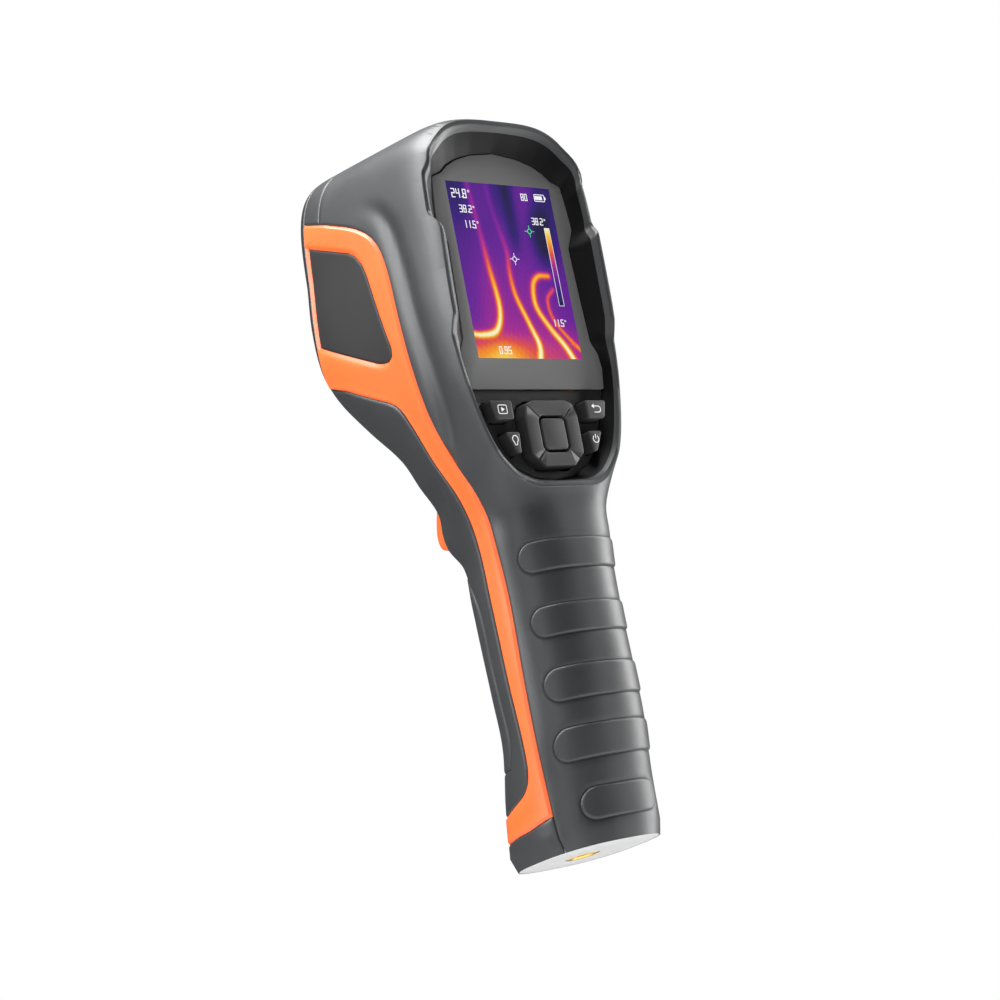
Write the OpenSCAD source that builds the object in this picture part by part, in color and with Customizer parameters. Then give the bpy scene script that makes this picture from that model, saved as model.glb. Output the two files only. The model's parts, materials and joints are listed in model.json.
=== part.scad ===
// Hand-held thermal imaging camera, built as separate pieces.
// Origin: centre of the tripod socket's mouth, on the flat base. +Z up, +Y towards the lens, millimetres.

/* [Body] */
// Outer half width of the handle at mid height
handle_half_w = 18.8; // [18.4:0.1:19.4]
// Outer half width of the head beside the display
head_half_w = 30.2; // [29.8:0.1:30.8]
// Depth of the rounding over the top of the head
top_r = 32; // [30:0.5:34]
// Thickness of the moulded shells
wall = 2.4; // [2:0.1:2.6]
// Gap at the seams between mouldings
seam = 0.14; // [0.1:0.02:0.2]
// Thickness of the coloured side trims
trim_t = 1.5; // [1.2:0.1:1.6]
// Lean of the display away from the base's normal, degrees
display_tilt = 7.5; // [7.4:0.05:7.6]
// Upward lean of the lens axis from the base plane, degrees
lens_tilt = 13; // [12.8:0.1:13.2]
// Height of the chamfer round the base
base_chamfer = 4; // [3.5:0.1:4.5]

/* [Display and keys] */
// Active width of the display
screen_w = 36.72; // [36:0.02:37]
// Active height of the display
screen_h = 48.96; // [48:0.02:49.5]
// Thickness of the cover glass
glass_t = 1.2; // [1:0.1:1.3]
// Height of the key tops above the glass
key_rise = 3.3; // [3:0.1:3.5]
// Travel of every key
key_travel = 0.8; // [0.5:0.1:0.8]
// Gap between a key and its hole
key_gap = 0.25; // [0.2:0.01:0.3]

/* [Lens and shutter] */
// Height of the lens axis above the display centre, along the head
lens_c = 14; // [13:0.5:15]
// Outer radius of the lens barrel
barrel_r = 10; // [9.5:0.1:10]
// Radius of the germanium lens
lens_r = 8.5; // [8:0.1:8.5]
// Angle that the shutter blade swings through
shutter_swing = 40; // [35:1:42]

/* [Trigger] */
// Radius of the trigger pin
pin_r = 1.5; // [1.3:0.05:1.6]
// Width of the trigger
trigger_w = 12; // [11:0.2:12.4]

/* [Handle contents] */
// Radius of the rechargeable cell
cell_r = 9.15; // [9:0.05:9.2]
// Length of the rechargeable cell
cell_l = 65; // [64.5:0.1:65.2]
// Lean of the cell's axis, to follow the handle, degrees
cell_tilt = 8.5; // [8:0.1:9]
// Radius of the tapped hole in the tripod insert
thread_r = 2.55; // [2.5:0.01:2.6]
// Outer radius of the tripod insert
insert_r = 4.5; // [4.2:0.1:4.8]
// Length of the tripod insert
insert_l = 10; // [9:0.5:11]

/* [Hidden] */

around = 20;            // steps round half a section
pivot = [0, -37.8, 151.3];   // centre of the display, where both tilted frames start
e = 0.01;

// ---- curve helpers ----
function clamp01(t) = min(1, max(0, t));
function spow(v, p) = v <= 0 ? 0 : pow(v, p);
function seg(tab, s, i = 0) = (i >= len(tab) - 2 || s < tab[i + 1][0]) ? i : seg(tab, s, i + 1);
function slope(tab, i, c) =
  let (a = max(0, i - 1), b = min(len(tab) - 1, i + 1))
  (tab[b][c] - tab[a][c]) / (tab[b][0] - tab[a][0]);
function curve(tab, s, c) =
  let (i = seg(tab, s), h = tab[i + 1][0] - tab[i][0], t = clamp01((s - tab[i][0]) / h))
  (2 * t * t * t - 3 * t * t + 1) * tab[i][c] + (t * t * t - 2 * t * t + t) * h * slope(tab, i, c)
  + (3 * t * t - 2 * t * t * t) * tab[i + 1][c] + (t * t * t - t * t) * h * slope(tab, i + 1, c);
// Points of a smooth open curve through the given points
function through(p, n = 4) =
  let (k = [for (i = [0 : len(p) - 1]) [i, p[i].x, p[i].y]])
  [for (i = [0 : (len(p) - 1) * n]) [curve(k, i / n, 1), curve(k, i / n, 2)]];
function mirrored(half) =
  concat(half, [for (i = [len(half) - 1 : -1 : 0]) if (half[i].x > e) [-half[i].x, half[i].y]]);

// ---- the body's sections ----
// height, front y, front z, rear y, rear z, half width, front and rear roundness, widest place
stations = [
  [4, 14.8, 4, -20.6, 4, handle_half_w + 0.8, 2.6, 2.6, 0.5],
  [17, 11.2, 17, -22.9, 17, handle_half_w + 0.4, 2.6, 2.6, 0.5],
  [31, 6.0, 31, -26.0, 31, handle_half_w + 0.1, 2.6, 2.6, 0.5],
  [45, 4.8, 45, -27.9, 45, handle_half_w, 2.6, 2.6, 0.5],
  [58, 3.8, 58, -29.4, 58, handle_half_w, 2.6, 2.6, 0.5],
  [70, 2.6, 70, -31.1, 70, handle_half_w + 0.2, 2.6, 2.6, 0.5],
  [80, 2.4, 80, -32.4, 80, handle_half_w + 0.5, 2.5, 2.8, 0.46],
  [88, 8.5, 88, -33.2, 87, handle_half_w + 1.2, 2.3, 3.2, 0.44],
  [96, 11.5, 96, -35.8, 94, handle_half_w + 2.8, 2.2, 4.2, 0.42],
  [105, 11.5, 105, -39.4, 102, head_half_w - 6.4, 2.2, 6.0, 0.42],
  [115, 12.6, 115, -41.6, 111, head_half_w - 4.2, 2.4, 8.0, 0.45],
  [127, 18.5, 127, -43.4, 121, head_half_w - 2.1, 3.0, 9.0, 0.5],
  [138, 23.2, 138, -44.8, 131, head_half_w - 0.8, 3.8, 9.0, 0.55],
  [148, 24.8, 148, -46.0, 140, head_half_w - 0.1, 4.6, 9.0, 0.58],
  [160, 23.4, 160, -47.4, 150, head_half_w, 5.0, 9.0, 0.6],
  [172, 20.6, 172, -48.8, 160, head_half_w - 0.2, 5.0, 9.0, 0.6]];
shoulder = 172;
top_steps = 8;
top_round = 3.6;
// The last height stops just short of the ridge, so that the top closes with a narrow flat face
heights = concat([for (s = [base_chamfer : 7.6 : 72.5]) s], [for (s = [80 : 5.12 : shoulder]) s],
  [for (i = [1 : top_steps]) shoulder + 89 * i / top_steps]);
// One point of the body, d inside the outer surface, at angle a from the front
function surface_point(s, a, d) =
  let (k = clamp01((s - shoulder) / 90), h = min(s, shoulder), g = sin(90 * k),
    narrow = pow(max(0, 1 - pow(g, top_round)), 1 / top_round), lift = g * (top_r - d),
    fy = curve(stations, h, 1) - d - lift * tan(lens_tilt) * 0.8,
    fz = curve(stations, h, 2) + lift,
    ry = curve(stations, h, 3) + d - lift * tan(lens_tilt) * 0.2,
    rz = curve(stations, h, 4) + lift,
    w = curve(stations, h, 5) - d, nf = curve(stations, h, 6), nr = curve(stations, h, 7),
    m = curve(stations, h, 8), c = cos(a),
    f = c > 0 ? m + (1 - m) * spow(c, 2 / nf) : m - m * spow(-c, 2 / nr))
  [w * spow(sin(a), 2 / (c > 0 ? nf : nr)) * narrow, ry + (fy - ry) * f, rz + (fz - rz) * f];
function section(s, d) =
  [for (i = [0 : 2 * around - 1])
    let (a = i * 180 / around, p = surface_point(s, a <= 180 ? a : 360 - a, d))
    [a <= 180 ? p.x : -p.x, p.y, p.z]];
function foot(d) =
  [for (p = section(base_chamfer, d)) [p.x * 0.945, -2.6 + (p.y + 2.6) * 0.945, 0.8 * d]];

// Closed solid of the whole body, d inside its outer surface
module body(d = 0) {
  rings = concat([foot(d)], [for (s = heights) section(s, d)]);
  n = 2 * around;
  m = len(rings);
  polyhedron([for (r = rings) for (p = r) p],
    concat([[for (i = [0 : n - 1]) n - 1 - i]], [[for (i = [0 : n - 1]) (m - 1) * n + i]],
      [for (j = [0 : m - 2]) for (i = [0 : n - 1])
        [j * n + i, j * n + (i + 1) % n, (j + 1) * n + (i + 1) % n, (j + 1) * n + i]]));
}

// ---- frames and prisms ----
module at_display() translate(pivot) rotate([display_tilt, 0, 0]) children();
module at_head() translate(pivot) rotate([lens_tilt, 0, 0]) children();
// Plate with a front-view outline (x, z), from depth y0 to y1
module plate(y0, y1) translate([0, y1, 0]) rotate([90, 0, 0]) linear_extrude(y1 - y0) children();
// Prism with a side-view outline (y, z), from x0 to x1
module side_prism(x0, x1) translate([x0, 0, 0]) rotate([90, 0, 90]) linear_extrude(x1 - x0) children();
// Cylinder along +Y
module rod(r, y0, y1, x = 0, z = 0, n = 48)
  translate([x, y1, z]) rotate([90, 0, 0]) cylinder(r = r, h = y1 - y0, $fn = n);
module block(x0, x1, y0, y1, z0, z1) translate([x0, y0, z0]) cube([x1 - x0, y1 - y0, z1 - z0]);

// ---- outlines seen from the side, (y, z) ----
rear_line = through([[-13.2, 9.5], [-14.4, 22], [-17.0, 44.7], [-19.9, 64.6], [-21.3, 78.1],
  [-22.2, 92.3], [-20.2, 104], [-19.0, 116], [-19.8, 129], [-21.4, 145.4], [-22.0, 159],
  [-19.8, 168], [-13.4, 174.8], [-1.6, 182.2]], 3);
front_line = through([[9.6, 137.1], [0, 130.7], [-8.5, 124.6], [-11.0, 118], [-12.6, 107],
  [-15.4, 94.9], [-15.1, 81.3], [-13.2, 65], [-11.4, 46.3], [-10.6, 30.3], [-9.4, 22],
  [-6.4, 17.8], [-1.5, 15.8], [3.6, 14.6]], 3);
bezel_b = 53.6;         // where the front bezel starts, along the head
ring_b = 44.6;          // where the top of the front shell starts, along the head
function head_yz(b, c) =
  [pivot.y + b * cos(lens_tilt) - c * sin(lens_tilt), pivot.z + b * sin(lens_tilt) + c * cos(lens_tilt)];
module trim_outline() {
  polygon(concat(rear_line, [[8.3, 187.2], head_yz(bezel_b + 2, 25.8), head_yz(bezel_b + 2, -21)],
    front_line, [[20, 14.2], [20, 7.2], [5.9, 7.5], [-5, 8.2]]));
}
module inlay_outline() {
  polygon([head_yz(bezel_b - 1.9, 17.4), [-8, 170.2], [-10.4, 168], [-12.3, 164.6], [-13.1, 160.9],
    [-14.5, 141], [-14.6, 138.8], [-13.8, 136.8], [-12, 136], [-9.6, 136.6], [-7.4, 137.6],
    head_yz(bezel_b - 1.9, -10.6)]);
}
module rear_outline() {
  polygon(concat([[-12.1, -9]], rear_line, [head_yz(ring_b, 22.4), head_yz(ring_b, 60), [-90, 230],
    [-90, -9]]));
}
module grip_outline() {
  polygon(concat(through([[-3, 25], [-5.8, 31], [-6.2, 40], [-6.6, 52], [-7.8, 62], [-7.2, 70],
    [-3.5, 77.5]], 3), [[25, 77.5], [25, 25]]));
}

// ---- outlines seen along the display's axis, (x, z) ----
glass_half = [[0, 34.3], [8, 33.2], [13.3, 31.7], [16.8, 29.2], [19.2, 26.6], [22.6, 25.2],
  [23.4, 19], [23.9, 12.7], [21.3, 7], [21.8, -7.3], [22.4, -19.3], [24.4, -23], [24.9, -27],
  [24.0, -33]];
deck_half = [[24.0, -33], [22.7, -36], [19.4, -44], [17.2, -49.3], [13.2, -53.7], [7, -56.8],
  [0, -57.8]];
module glass_shape() polygon(mirrored(concat(glass_half, [[0, -33]])));
module deck_shape() polygon(mirrored(concat([[0, -33.2]], deck_half)));
module recess_shape() polygon(mirrored(concat(glass_half, deck_half)));
module rim_side() polygon([[-4.4, 60], [-4.4, 27.5], [-2.9, 25], [-2.9, 13.5], [-5.8, 10],
  [-5, -14], [-2.9, -19.5], [-3.6, -60.4], [-12, -64], [-40, -64], [-40, 60]]);
module nav_shape() polygon(mirrored([[0, -36.9], [5.6, -36.9], [8.2, -38], [9.2, -41.3],
  [9.1, -51.3], [5.2, -54.8], [0, -54.8]]));
module ok_shape() polygon(mirrored([[0, -41.8], [3.3, -41.8], [4.1, -42.6], [4.1, -49.5],
  [3.3, -50.3], [0, -50.3]]));
module wide_key_shape() polygon([[13, -36.9], [20.1, -36.9], [20.3, -37.6], [19.3, -41.3],
  [18.5, -42], [13, -42]]);
module narrow_key_shape() polygon([[12.2, -45.4], [16.5, -45.4], [16.7, -46], [14.3, -50.7],
  [13.5, -51.1], [12.7, -51]]);
module both_sides() {
  children();
  mirror([1, 0, 0]) children();
}

// ---- screws that join the shells, under the front grip ----
screw_x = 13.1;
screw_heads = [[-1.45, 33], [-5.1, 70]];   // front of the head (y) and height
// Rods on the screws' axes, from y0 to y1 measured from the front of the head
module screw_rods(r, y0, y1, n) for (p = screw_heads, side = [-1, 1])
  rod(r, p.x + y0, p.x + y1, side * screw_x, p.y, n);

// ---- mouldings ----
hinge_x = 19;           // port cover's hinge line
cover_b0 = 6;
cover_b1 = 20;
module cover_box(g) at_head() block(-hinge_x - g, hinge_x + g, cover_b0 - g, cover_b1 + g, 25, 60);
module display_walls() at_display() plate(-12, 5.4) offset(delta = 2.2) recess_shape();
module display_hollow() at_display() {
  translate([0, 0, -8]) rotate([90, 0, 0]) linear_extrude(6.3, scale = [1.15, 1.06])
    translate([0, 8]) recess_shape();
  plate(-e, glass_t + 0.05) offset(delta = 0.1) glass_shape();
  plate(-e, 7) square([screen_w + 1.6, screen_h + 1.6], center = true);
  plate(2.2, 7) translate([-21.3, -31.3]) square([42.6, 58.6]);
  plate(-e, 2.25) offset(delta = 0.1) deck_shape();
  plate(-e, 7) offset(delta = -1) deck_shape();
}
module rim_cut() at_display() side_prism(-60, 60) rim_side();

module rear_shell() color("#3f4244") difference() {
  resize([0, 0, 0]) difference() {
    intersection() {
      union() {
        difference() {
          body(0);
          body(wall);
        }
        intersection() {
          body(0.3);
          union() {
            display_walls();
            screw_rods(2.4, -24, -14.5, 20);
          }
        }
      }
      side_prism(-60, 60) offset(delta = -seam / 2) rear_outline();
    }
    display_hollow();
    rim_cut();
    cover_box(0.15);
    at_head() rod(2.2, cover_b0 - 0.15, cover_b1 + 0.15, hinge_x + 0.2, 37.8, 20);
  }
  screw_rods(1.22, -20.6, 0, 48);
}

slot_w = trigger_w + 0.7;
trigger_pivot = [5, 105.5];
module front_shell() color("#3a3d3f") difference() {
  resize([0, 0, 0]) difference() {
    union() {
      difference() {
        union() {
          difference() {
            body(0);
            side_prism(-60, 60) offset(delta = seam / 2) trim_outline();
            side_prism(-60, 60) offset(delta = seam / 2) grip_outline();
          }
          body(trim_t + seam);
        }
        body(wall + 1.6);
      }
      intersection() {
        body(1);
        union() {
          translate([0, 0, -1]) cylinder(r = 7.5, h = 12.5, $fn = 32);
          both_sides() block(slot_w / 2 + 0.3, slot_w / 2 + 3, -3, 20, 99, 112);
          intersection() {
            body(trim_t + seam + 0.4);
            screw_rods(2.55, -3.5, 3, 20);
          }
        }
      }
    }
    side_prism(-60, 60) offset(delta = seam / 2) rear_outline();
    at_head() block(-60, 60, bezel_b - seam / 2, 90, -80, 80);
    block(-slot_w / 2, slot_w / 2, -8, 30, 89.3, 109.5);
    screw_rods(1.27, -20, 0, 48);
    screw_rods(2.42, -1.62, 6, 48);
  }
  translate([0, 0, -5]) cylinder(r = insert_r + 0.02, h = insert_l + 5, $fn = 64);
  translate([-9.8, trigger_pivot.x, trigger_pivot.y]) rotate([0, 90, 0])
    cylinder(r = pin_r + 0.02, h = 19.6, $fn = 48);
}

camera_x = -10;
lamp_x = 10;
small_c = -9;           // height of the small windows along the head
bezel_front = 61.4;
module front_bezel() color("#26282a") difference() {
  resize([0, 0, 0]) difference() {
    body(0);
    at_head() block(-60, 60, -200, bezel_b + seam / 2, -220, 80);
    intersection() {
      body(wall);
      at_head() block(-60, 60, -60, 58.4, -80, 80);
    }
  }
  at_head() rod(barrel_r + 0.15, 40, 70, 0, lens_c, 64);
  at_head() rod(4.1, 40, 70, camera_x, small_c);
  at_head() rod(4.1, 40, 70, lamp_x, small_c);
}

module trim_half() resize([0, 0, 0]) difference() {
  body(0);
  body(trim_t);
  block(-60, 0.12, -90, 60, -5, 220);
  at_head() block(-60, 60, bezel_b - seam / 2, 90, -80, 80);
  difference() {
    block(-60, 60, -90, 60, -5, 220);
    side_prism(-60, 60) offset(delta = -seam / 2) difference() {
      trim_outline();
      inlay_outline();
    }
  }
}
module side_trim_right() color("#ff7a30") trim_half();
module side_trim_left() color("#ff7a30") mirror([1, 0, 0]) trim_half();

module inlay_half() resize([0, 0, 0]) intersection() {
  difference() {
    body(0.3);
    body(trim_t);
  }
  side_prism(1, 60) offset(delta = -seam / 2) inlay_outline();
}
module side_inlay_right() color("#3b3b3b") inlay_half();
module side_inlay_left() color("#3b3b3b") mirror([1, 0, 0]) inlay_half();

module front_grip() color("#2c2f31") resize([0, 0, 0]) intersection() {
  difference() {
    body(0);
    body(trim_t);
  }
  side_prism(-60, 60) offset(delta = -seam / 2) grip_outline();
}

// ---- display and keypad ----
module display_window() color("#6f6f6f") at_display() plate(0, glass_t) glass_shape();
module display_gasket() color("#202020") at_display() plate(2.25, 2.45) difference() {
  square([screen_w + 4.4, screen_h + 4.4], center = true);
  square([screen_w + 1.6, screen_h + 1.6], center = true);
}
module lcd_module() color("#8a2be2") at_display() block(-21, 21, 2.5, 5.2, -31, 27);

module keypad_panel() color("#484848") at_display() plate(0.5, 2.2) difference() {
  deck_shape();
  key_openings();
}
module key_openings() {
  offset(delta = key_gap + 0.15) nav_shape();
  both_sides() {
    offset(delta = key_gap) wide_key_shape();
    offset(delta = key_gap) narrow_key_shape();
  }
}
module key_solid(flange) {
  plate(-key_rise, 2.5) children();
  plate(2.45, 3.3) intersection() {
    offset(delta = flange) children();
    offset(delta = -1.25) deck_shape();
  }
}
module key_play() color("#414141") at_display() mirror([1, 0, 0]) key_solid(0.7) wide_key_shape();
module key_back() color("#414141") at_display() key_solid(0.7) wide_key_shape();
module key_light() color("#414141") at_display() mirror([1, 0, 0]) key_solid(0.6) narrow_key_shape();
module key_power() color("#414141") at_display() key_solid(0.6) narrow_key_shape();
nav_z = -45.9;          // height of the middle of the navigation ring
module nav_ring() color("#414141") at_display() difference() {
  plate(-key_rise, 1.9) nav_shape();
  plate(-6, 6) offset(delta = 0.45) ok_shape();
}
module nav_collar() color("#303030") at_display() plate(2.5, 3.3) difference() {
  polygon([for (a = [0 : 15 : 345]) [8.6 * cos(a), nav_z + 8.6 * sin(a)]]);
  translate([0, nav_z]) square([9.6, 10], center = true);
}
module nav_ok() color("#414141") at_display() {
  plate(-key_rise, 3.3) ok_shape();
}
module keypad_membrane() color("#555a5c") at_display() plate(4.2, 4.8) offset(delta = -2.4) deck_shape();
dome_places = [[-16.2, -39.4], [16.2, -39.4], [-14.1, -47.8], [14.1, -47.8], [0, nav_z],
  [0, -38.8], [0, -53], [-7.2, nav_z], [7.2, nav_z]];
module dome_switches() color("#c0c0c0") at_display()
  for (p = dome_places) rod(1.9, 4.95, 5.55, p.x, p.y, 32);
module key_board() color("#1f6b3a") at_display() plate(5.6, 6.8) offset(delta = -3) deck_shape();
module main_board() color("#1f6b3a") at_display() difference() {
  union() {
    block(-17.5, 17.5, 9.2, 10.8, -44, 28);
    block(-8, 8, 10.75, 12.4, -10, 8);
    block(-12, -4, 10.75, 12.2, 12, 22);
    block(4, 14, 10.75, 13, -36, -22);
  }
  for (p = board_holes) rod(1.1, 5, 14, p.x, p.y, 32);
}
board_holes = [[-15, 25.5], [15, 25.5], [-15, -41], [15, -41]];
module board_screws() color("#b8b8b8") at_display() for (p = board_holes) {
  rod(1.0, 7.6, 10.85, p.x, p.y, 32);
  rod(1.9, 10.82, 12, p.x, p.y, 32);
}

// ---- thermal core, lens and shutter ----
shutter_axis = [12, lens_c + 12];
module core_housing() color("#9aa0a6") at_head() difference() {
  block(-15, 17, 24, 38, lens_c - 15, lens_c + 17);
  rod(8, 27, 39, 0, lens_c, 64);
  rod(9.3, 23, 27.01, 0, lens_c, 64);
  block(-9, 18, 30, 32.4, lens_c - 16, lens_c + 18);
  rod(3.56, 23, 30.01, shutter_axis.x, shutter_axis.y);
}
module detector_board() color("#1f6b3a") at_head() difference() {
  block(-14, 16, 20.8, 22.4, lens_c - 14, lens_c + 16);
  rod(3.7, 20, 24, shutter_axis.x, shutter_axis.y);
}
module detector() color("#b08d57") at_head() {
  block(-6, 6, 22.4 + e, 25.4, lens_c - 6, lens_c + 6);
}
module lens_barrel() color("#1b1c1e") at_head() difference() {
  rod(barrel_r, 38.1, 62.4, 0, lens_c, 96);
  rod(7.6, 38, 63, 0, lens_c, 96);
  rod(lens_r + 0.05, 55, 63, 0, lens_c, 96);
}
module germanium_lens() color("#7a5a6a") at_head() {
  translate([0, 55.05, lens_c]) rotate([-90, 0, 0]) rotate_extrude($fn = 96)
    polygon(concat([[0, 0], [lens_r, 0], [lens_r, 2]],
      [for (i = [1 : 8]) let (r = lens_r * (1 - i / 8)) [r, 2 + 1.2 * (1 - pow(r / lens_r, 2))]]));
}
module lens_retainer() color("#2a2c2e") at_head() difference() {
  rod(lens_r, 59.2, 60.8, 0, lens_c, 96);
  rod(lens_r - 1.1, 59, 61, 0, lens_c, 96);
}
blade_open = 45 + shutter_swing;   // angle of the parked arm below the -X direction
module shutter_blade() color("#101010") at_head() difference() {
  union() {
    rod(2.2, 31, 31.4, shutter_axis.x, shutter_axis.y);
    translate([shutter_axis.x, 0, shutter_axis.y]) rotate([0, -blade_open, 0]) {
      block(-17, 0, 31, 31.4, -1.6, 1.6);
      rod(5.6, 31, 31.4, -17, 0);
    }
  }
  rod(0.65, 30, 33, shutter_axis.x, shutter_axis.y, 32);
}
module shutter_motor() color("#c8c8c8") at_head() {
  rod(3.5, 23.2, 29.9, shutter_axis.x, shutter_axis.y);
  rod(0.6, 29.8, 32, shutter_axis.x, shutter_axis.y, 32);
}
module visible_camera() color("#151515") at_head() {
  block(camera_x - 4.5, camera_x + 4.5, 50, 55, small_c - 4.5, small_c + 4.5);
  rod(3.2, 54.9, 58.2, camera_x, small_c);
}
module camera_window() color("#3a3f44") at_head() rod(4.05, 59.2, 60.4, camera_x, small_c);
module lamp_led() color("#f4f0c8") at_head() {
  block(lamp_x - 3.5, lamp_x + 3.5, 53.5, 54.7, small_c - 3.5, small_c + 3.5);
  block(lamp_x - 1.7, lamp_x + 1.7, 54.65, 55.6, small_c - 1.7, small_c + 1.7);
}
module lamp_lens() color("#dfe6ea") at_head() rod(4.05, 57.2, 60.6, lamp_x, small_c);

// ---- trigger ----
module trigger() color("#ff7a30") difference() {
  side_prism(-trigger_w / 2, trigger_w / 2) polygon(concat(
    through([[11.2, 108.6], [12.4, 104], [14.7, 99], [15.8, 95.2], [15.2, 92], [12.6, 90.5]], 4),
    [[6, 90.8], [5, 95], [4.2, 100.5], [2.2, 103.5], [2.2, 107.2], [4.4, 108.8]]));
  translate([-15, trigger_pivot.x, trigger_pivot.y]) rotate([0, 90, 0])
    cylinder(r = pin_r + 0.03, h = 30, $fn = 48);
  translate([-2.6, trigger_pivot.x, trigger_pivot.y]) rotate([0, 90, 0])
    cylinder(r = 3.4, h = 5.2, $fn = 48);
  block(-2.6, 2.6, 0, trigger_pivot.x, trigger_pivot.y - 3.4, 112);
}
module trigger_pin() color("#c4c4c4") translate([-9, trigger_pivot.x, trigger_pivot.y])
  rotate([0, 90, 0]) cylinder(r = pin_r, h = 18, $fn = 48);
// Wire of radius w wound at radius r, from x0 to x1 along its own axis
function coil(r, w, x0, x1, turns, n = 14, k = 6) =
  [for (i = [0 : turns * n]) let (a = i * 360 / n, x = x0 + (x1 - x0) * i / (turns * n))
    for (j = [0 : k - 1]) let (b = j * 360 / k)
    [(r + w * cos(b)) * cos(a), (r + w * cos(b)) * sin(a), x + w * sin(b)]];
module coil_spring(r, w, x0, x1, turns, n = 14, k = 6) {
  m = turns * n;
  polyhedron(coil(r, w, x0, x1, turns, n, k),
    concat([[for (j = [0 : k - 1]) k - 1 - j]], [[for (j = [0 : k - 1]) m * k + j]],
      [for (i = [0 : m - 1]) for (j = [0 : k - 1])
        [i * k + j, i * k + (j + 1) % k, (i + 1) * k + (j + 1) % k, (i + 1) * k + j]]));
}
module trigger_spring() color("#d0d0d0") translate([0, trigger_pivot.x, trigger_pivot.y])
  rotate([0, 90, 0]) coil_spring(2.2, 0.3, -2.1, 2.1, 5);
module trigger_switch() color("#202020") {
  block(-3, 3, -3.6, 2.2, 93, 99.5);
  block(-1, 1, 2.15, 3.2, 95, 96.6);
}

// ---- handle contents ----
module at_cell() translate([0, -5.2, 15.5]) rotate([cell_tilt, 0, 0]) children();
module battery_cell() color("#3a6ea5") at_cell() {
  cylinder(r = cell_r, h = cell_l - 1, $fn = 96);
  translate([0, 0, cell_l - 1.01]) cylinder(r = 2.8, h = 1.01, $fn = 48);
}
module battery_cradle() color("#222426") at_cell() difference() {
  translate([0, 0, -1.6]) cylinder(r = cell_r + 1.7, h = cell_l + 5.4, $fn = 96);
  translate([0, 0, -0.3]) cylinder(r = cell_r + 0.15, h = cell_l + 2.6, $fn = 96);
  translate([-20, 3.5, -2]) cube([40, 20, cell_l + 8]);
}
module battery_contacts() color("#c9a24a") at_cell() {
  translate([0, 0, cell_l + 0.05]) cylinder(r = 4, h = 0.5, $fn = 48);
  coil_spring(3, 0.3, cell_l + 0.87, cell_l + 1.98, 1.5, 12, 5);
  translate([0, 0, -0.28]) cylinder(r = 4.5, h = 0.2, $fn = 48);
}
module tripod_insert() color("#b5903c") difference() {
  cylinder(r = insert_r, h = insert_l - 0.2, $fn = 96);
  translate([0, 0, -1]) cylinder(r = thread_r, h = insert_l + 2, $fn = 96);
}

// ---- ports on top of the head ----
module port_cover() color("#2b2d2f") resize([0, 0, 0]) intersection() {
  difference() {
    body(0);
    body(1.8);
  }
  cover_box(0);
}
module port_board() color("#1f6b3a") at_head() block(-15, 15, 8, 18, 29.6, 30.8);
module usb_socket() color("#cfcfcf") at_head() difference() {
  block(-11, -2, 11, 14.3, 30.82, 36.6);
  block(-10.4, -2.6, 11.5, 13.8, 31.6, 37);
}
module card_socket() color("#c2c2c2") at_head() difference() {
  block(1, 13, 11.6, 13.4, 30.82, 35.8);
  block(1.5, 12.5, 12, 13, 31.6, 37);
}

// ---- fasteners ----
module shell_screws() color("#9a9a9a") {
  screw_rods(1.2, -20.5, -1.55, 48);
  screw_rods(2.3, -1.6, 0, 48);
}

rear_shell();
front_shell();
front_bezel();
side_trim_left();
side_trim_right();
side_inlay_left();
side_inlay_right();
front_grip();
display_window();
display_gasket();
lcd_module();
keypad_panel();
key_play();
key_light();
key_back();
key_power();
nav_ring();
nav_collar();
nav_ok();
keypad_membrane();
dome_switches();
key_board();
main_board();
core_housing();
detector_board();
detector();
lens_barrel();
germanium_lens();
lens_retainer();
shutter_blade();
shutter_motor();
visible_camera();
camera_window();
lamp_led();
lamp_lens();
trigger();
trigger_pin();
trigger_spring();
trigger_switch();
battery_cradle();
battery_cell();
battery_contacts();
tripod_insert();
port_cover();
port_board();
usb_socket();
card_socket();
shell_screws();
board_screws();
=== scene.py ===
import bpy
import bmesh
import json
import math
import numpy as np
from mathutils import Matrix, Vector, kdtree
from mathutils.geometry import delaunay_2d_cdt

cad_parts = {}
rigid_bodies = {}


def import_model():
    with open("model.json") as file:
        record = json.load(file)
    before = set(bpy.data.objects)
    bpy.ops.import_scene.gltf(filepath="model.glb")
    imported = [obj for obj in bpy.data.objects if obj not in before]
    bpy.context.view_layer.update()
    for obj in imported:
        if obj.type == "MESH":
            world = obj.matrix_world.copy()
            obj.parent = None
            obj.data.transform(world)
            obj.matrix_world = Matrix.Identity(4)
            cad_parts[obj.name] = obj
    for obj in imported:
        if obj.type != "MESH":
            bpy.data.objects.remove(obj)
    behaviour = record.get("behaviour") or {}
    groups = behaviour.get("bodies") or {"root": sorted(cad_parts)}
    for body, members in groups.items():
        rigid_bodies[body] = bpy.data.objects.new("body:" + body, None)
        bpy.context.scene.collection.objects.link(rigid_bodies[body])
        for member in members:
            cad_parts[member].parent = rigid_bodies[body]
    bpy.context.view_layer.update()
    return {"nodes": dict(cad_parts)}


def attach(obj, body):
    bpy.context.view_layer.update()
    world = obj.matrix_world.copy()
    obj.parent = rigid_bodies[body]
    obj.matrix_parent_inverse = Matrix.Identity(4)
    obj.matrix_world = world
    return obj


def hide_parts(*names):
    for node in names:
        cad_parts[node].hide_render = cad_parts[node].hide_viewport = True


for old in list(bpy.data.objects):
    bpy.data.objects.remove(old)
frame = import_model()
MM = 0.001

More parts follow.
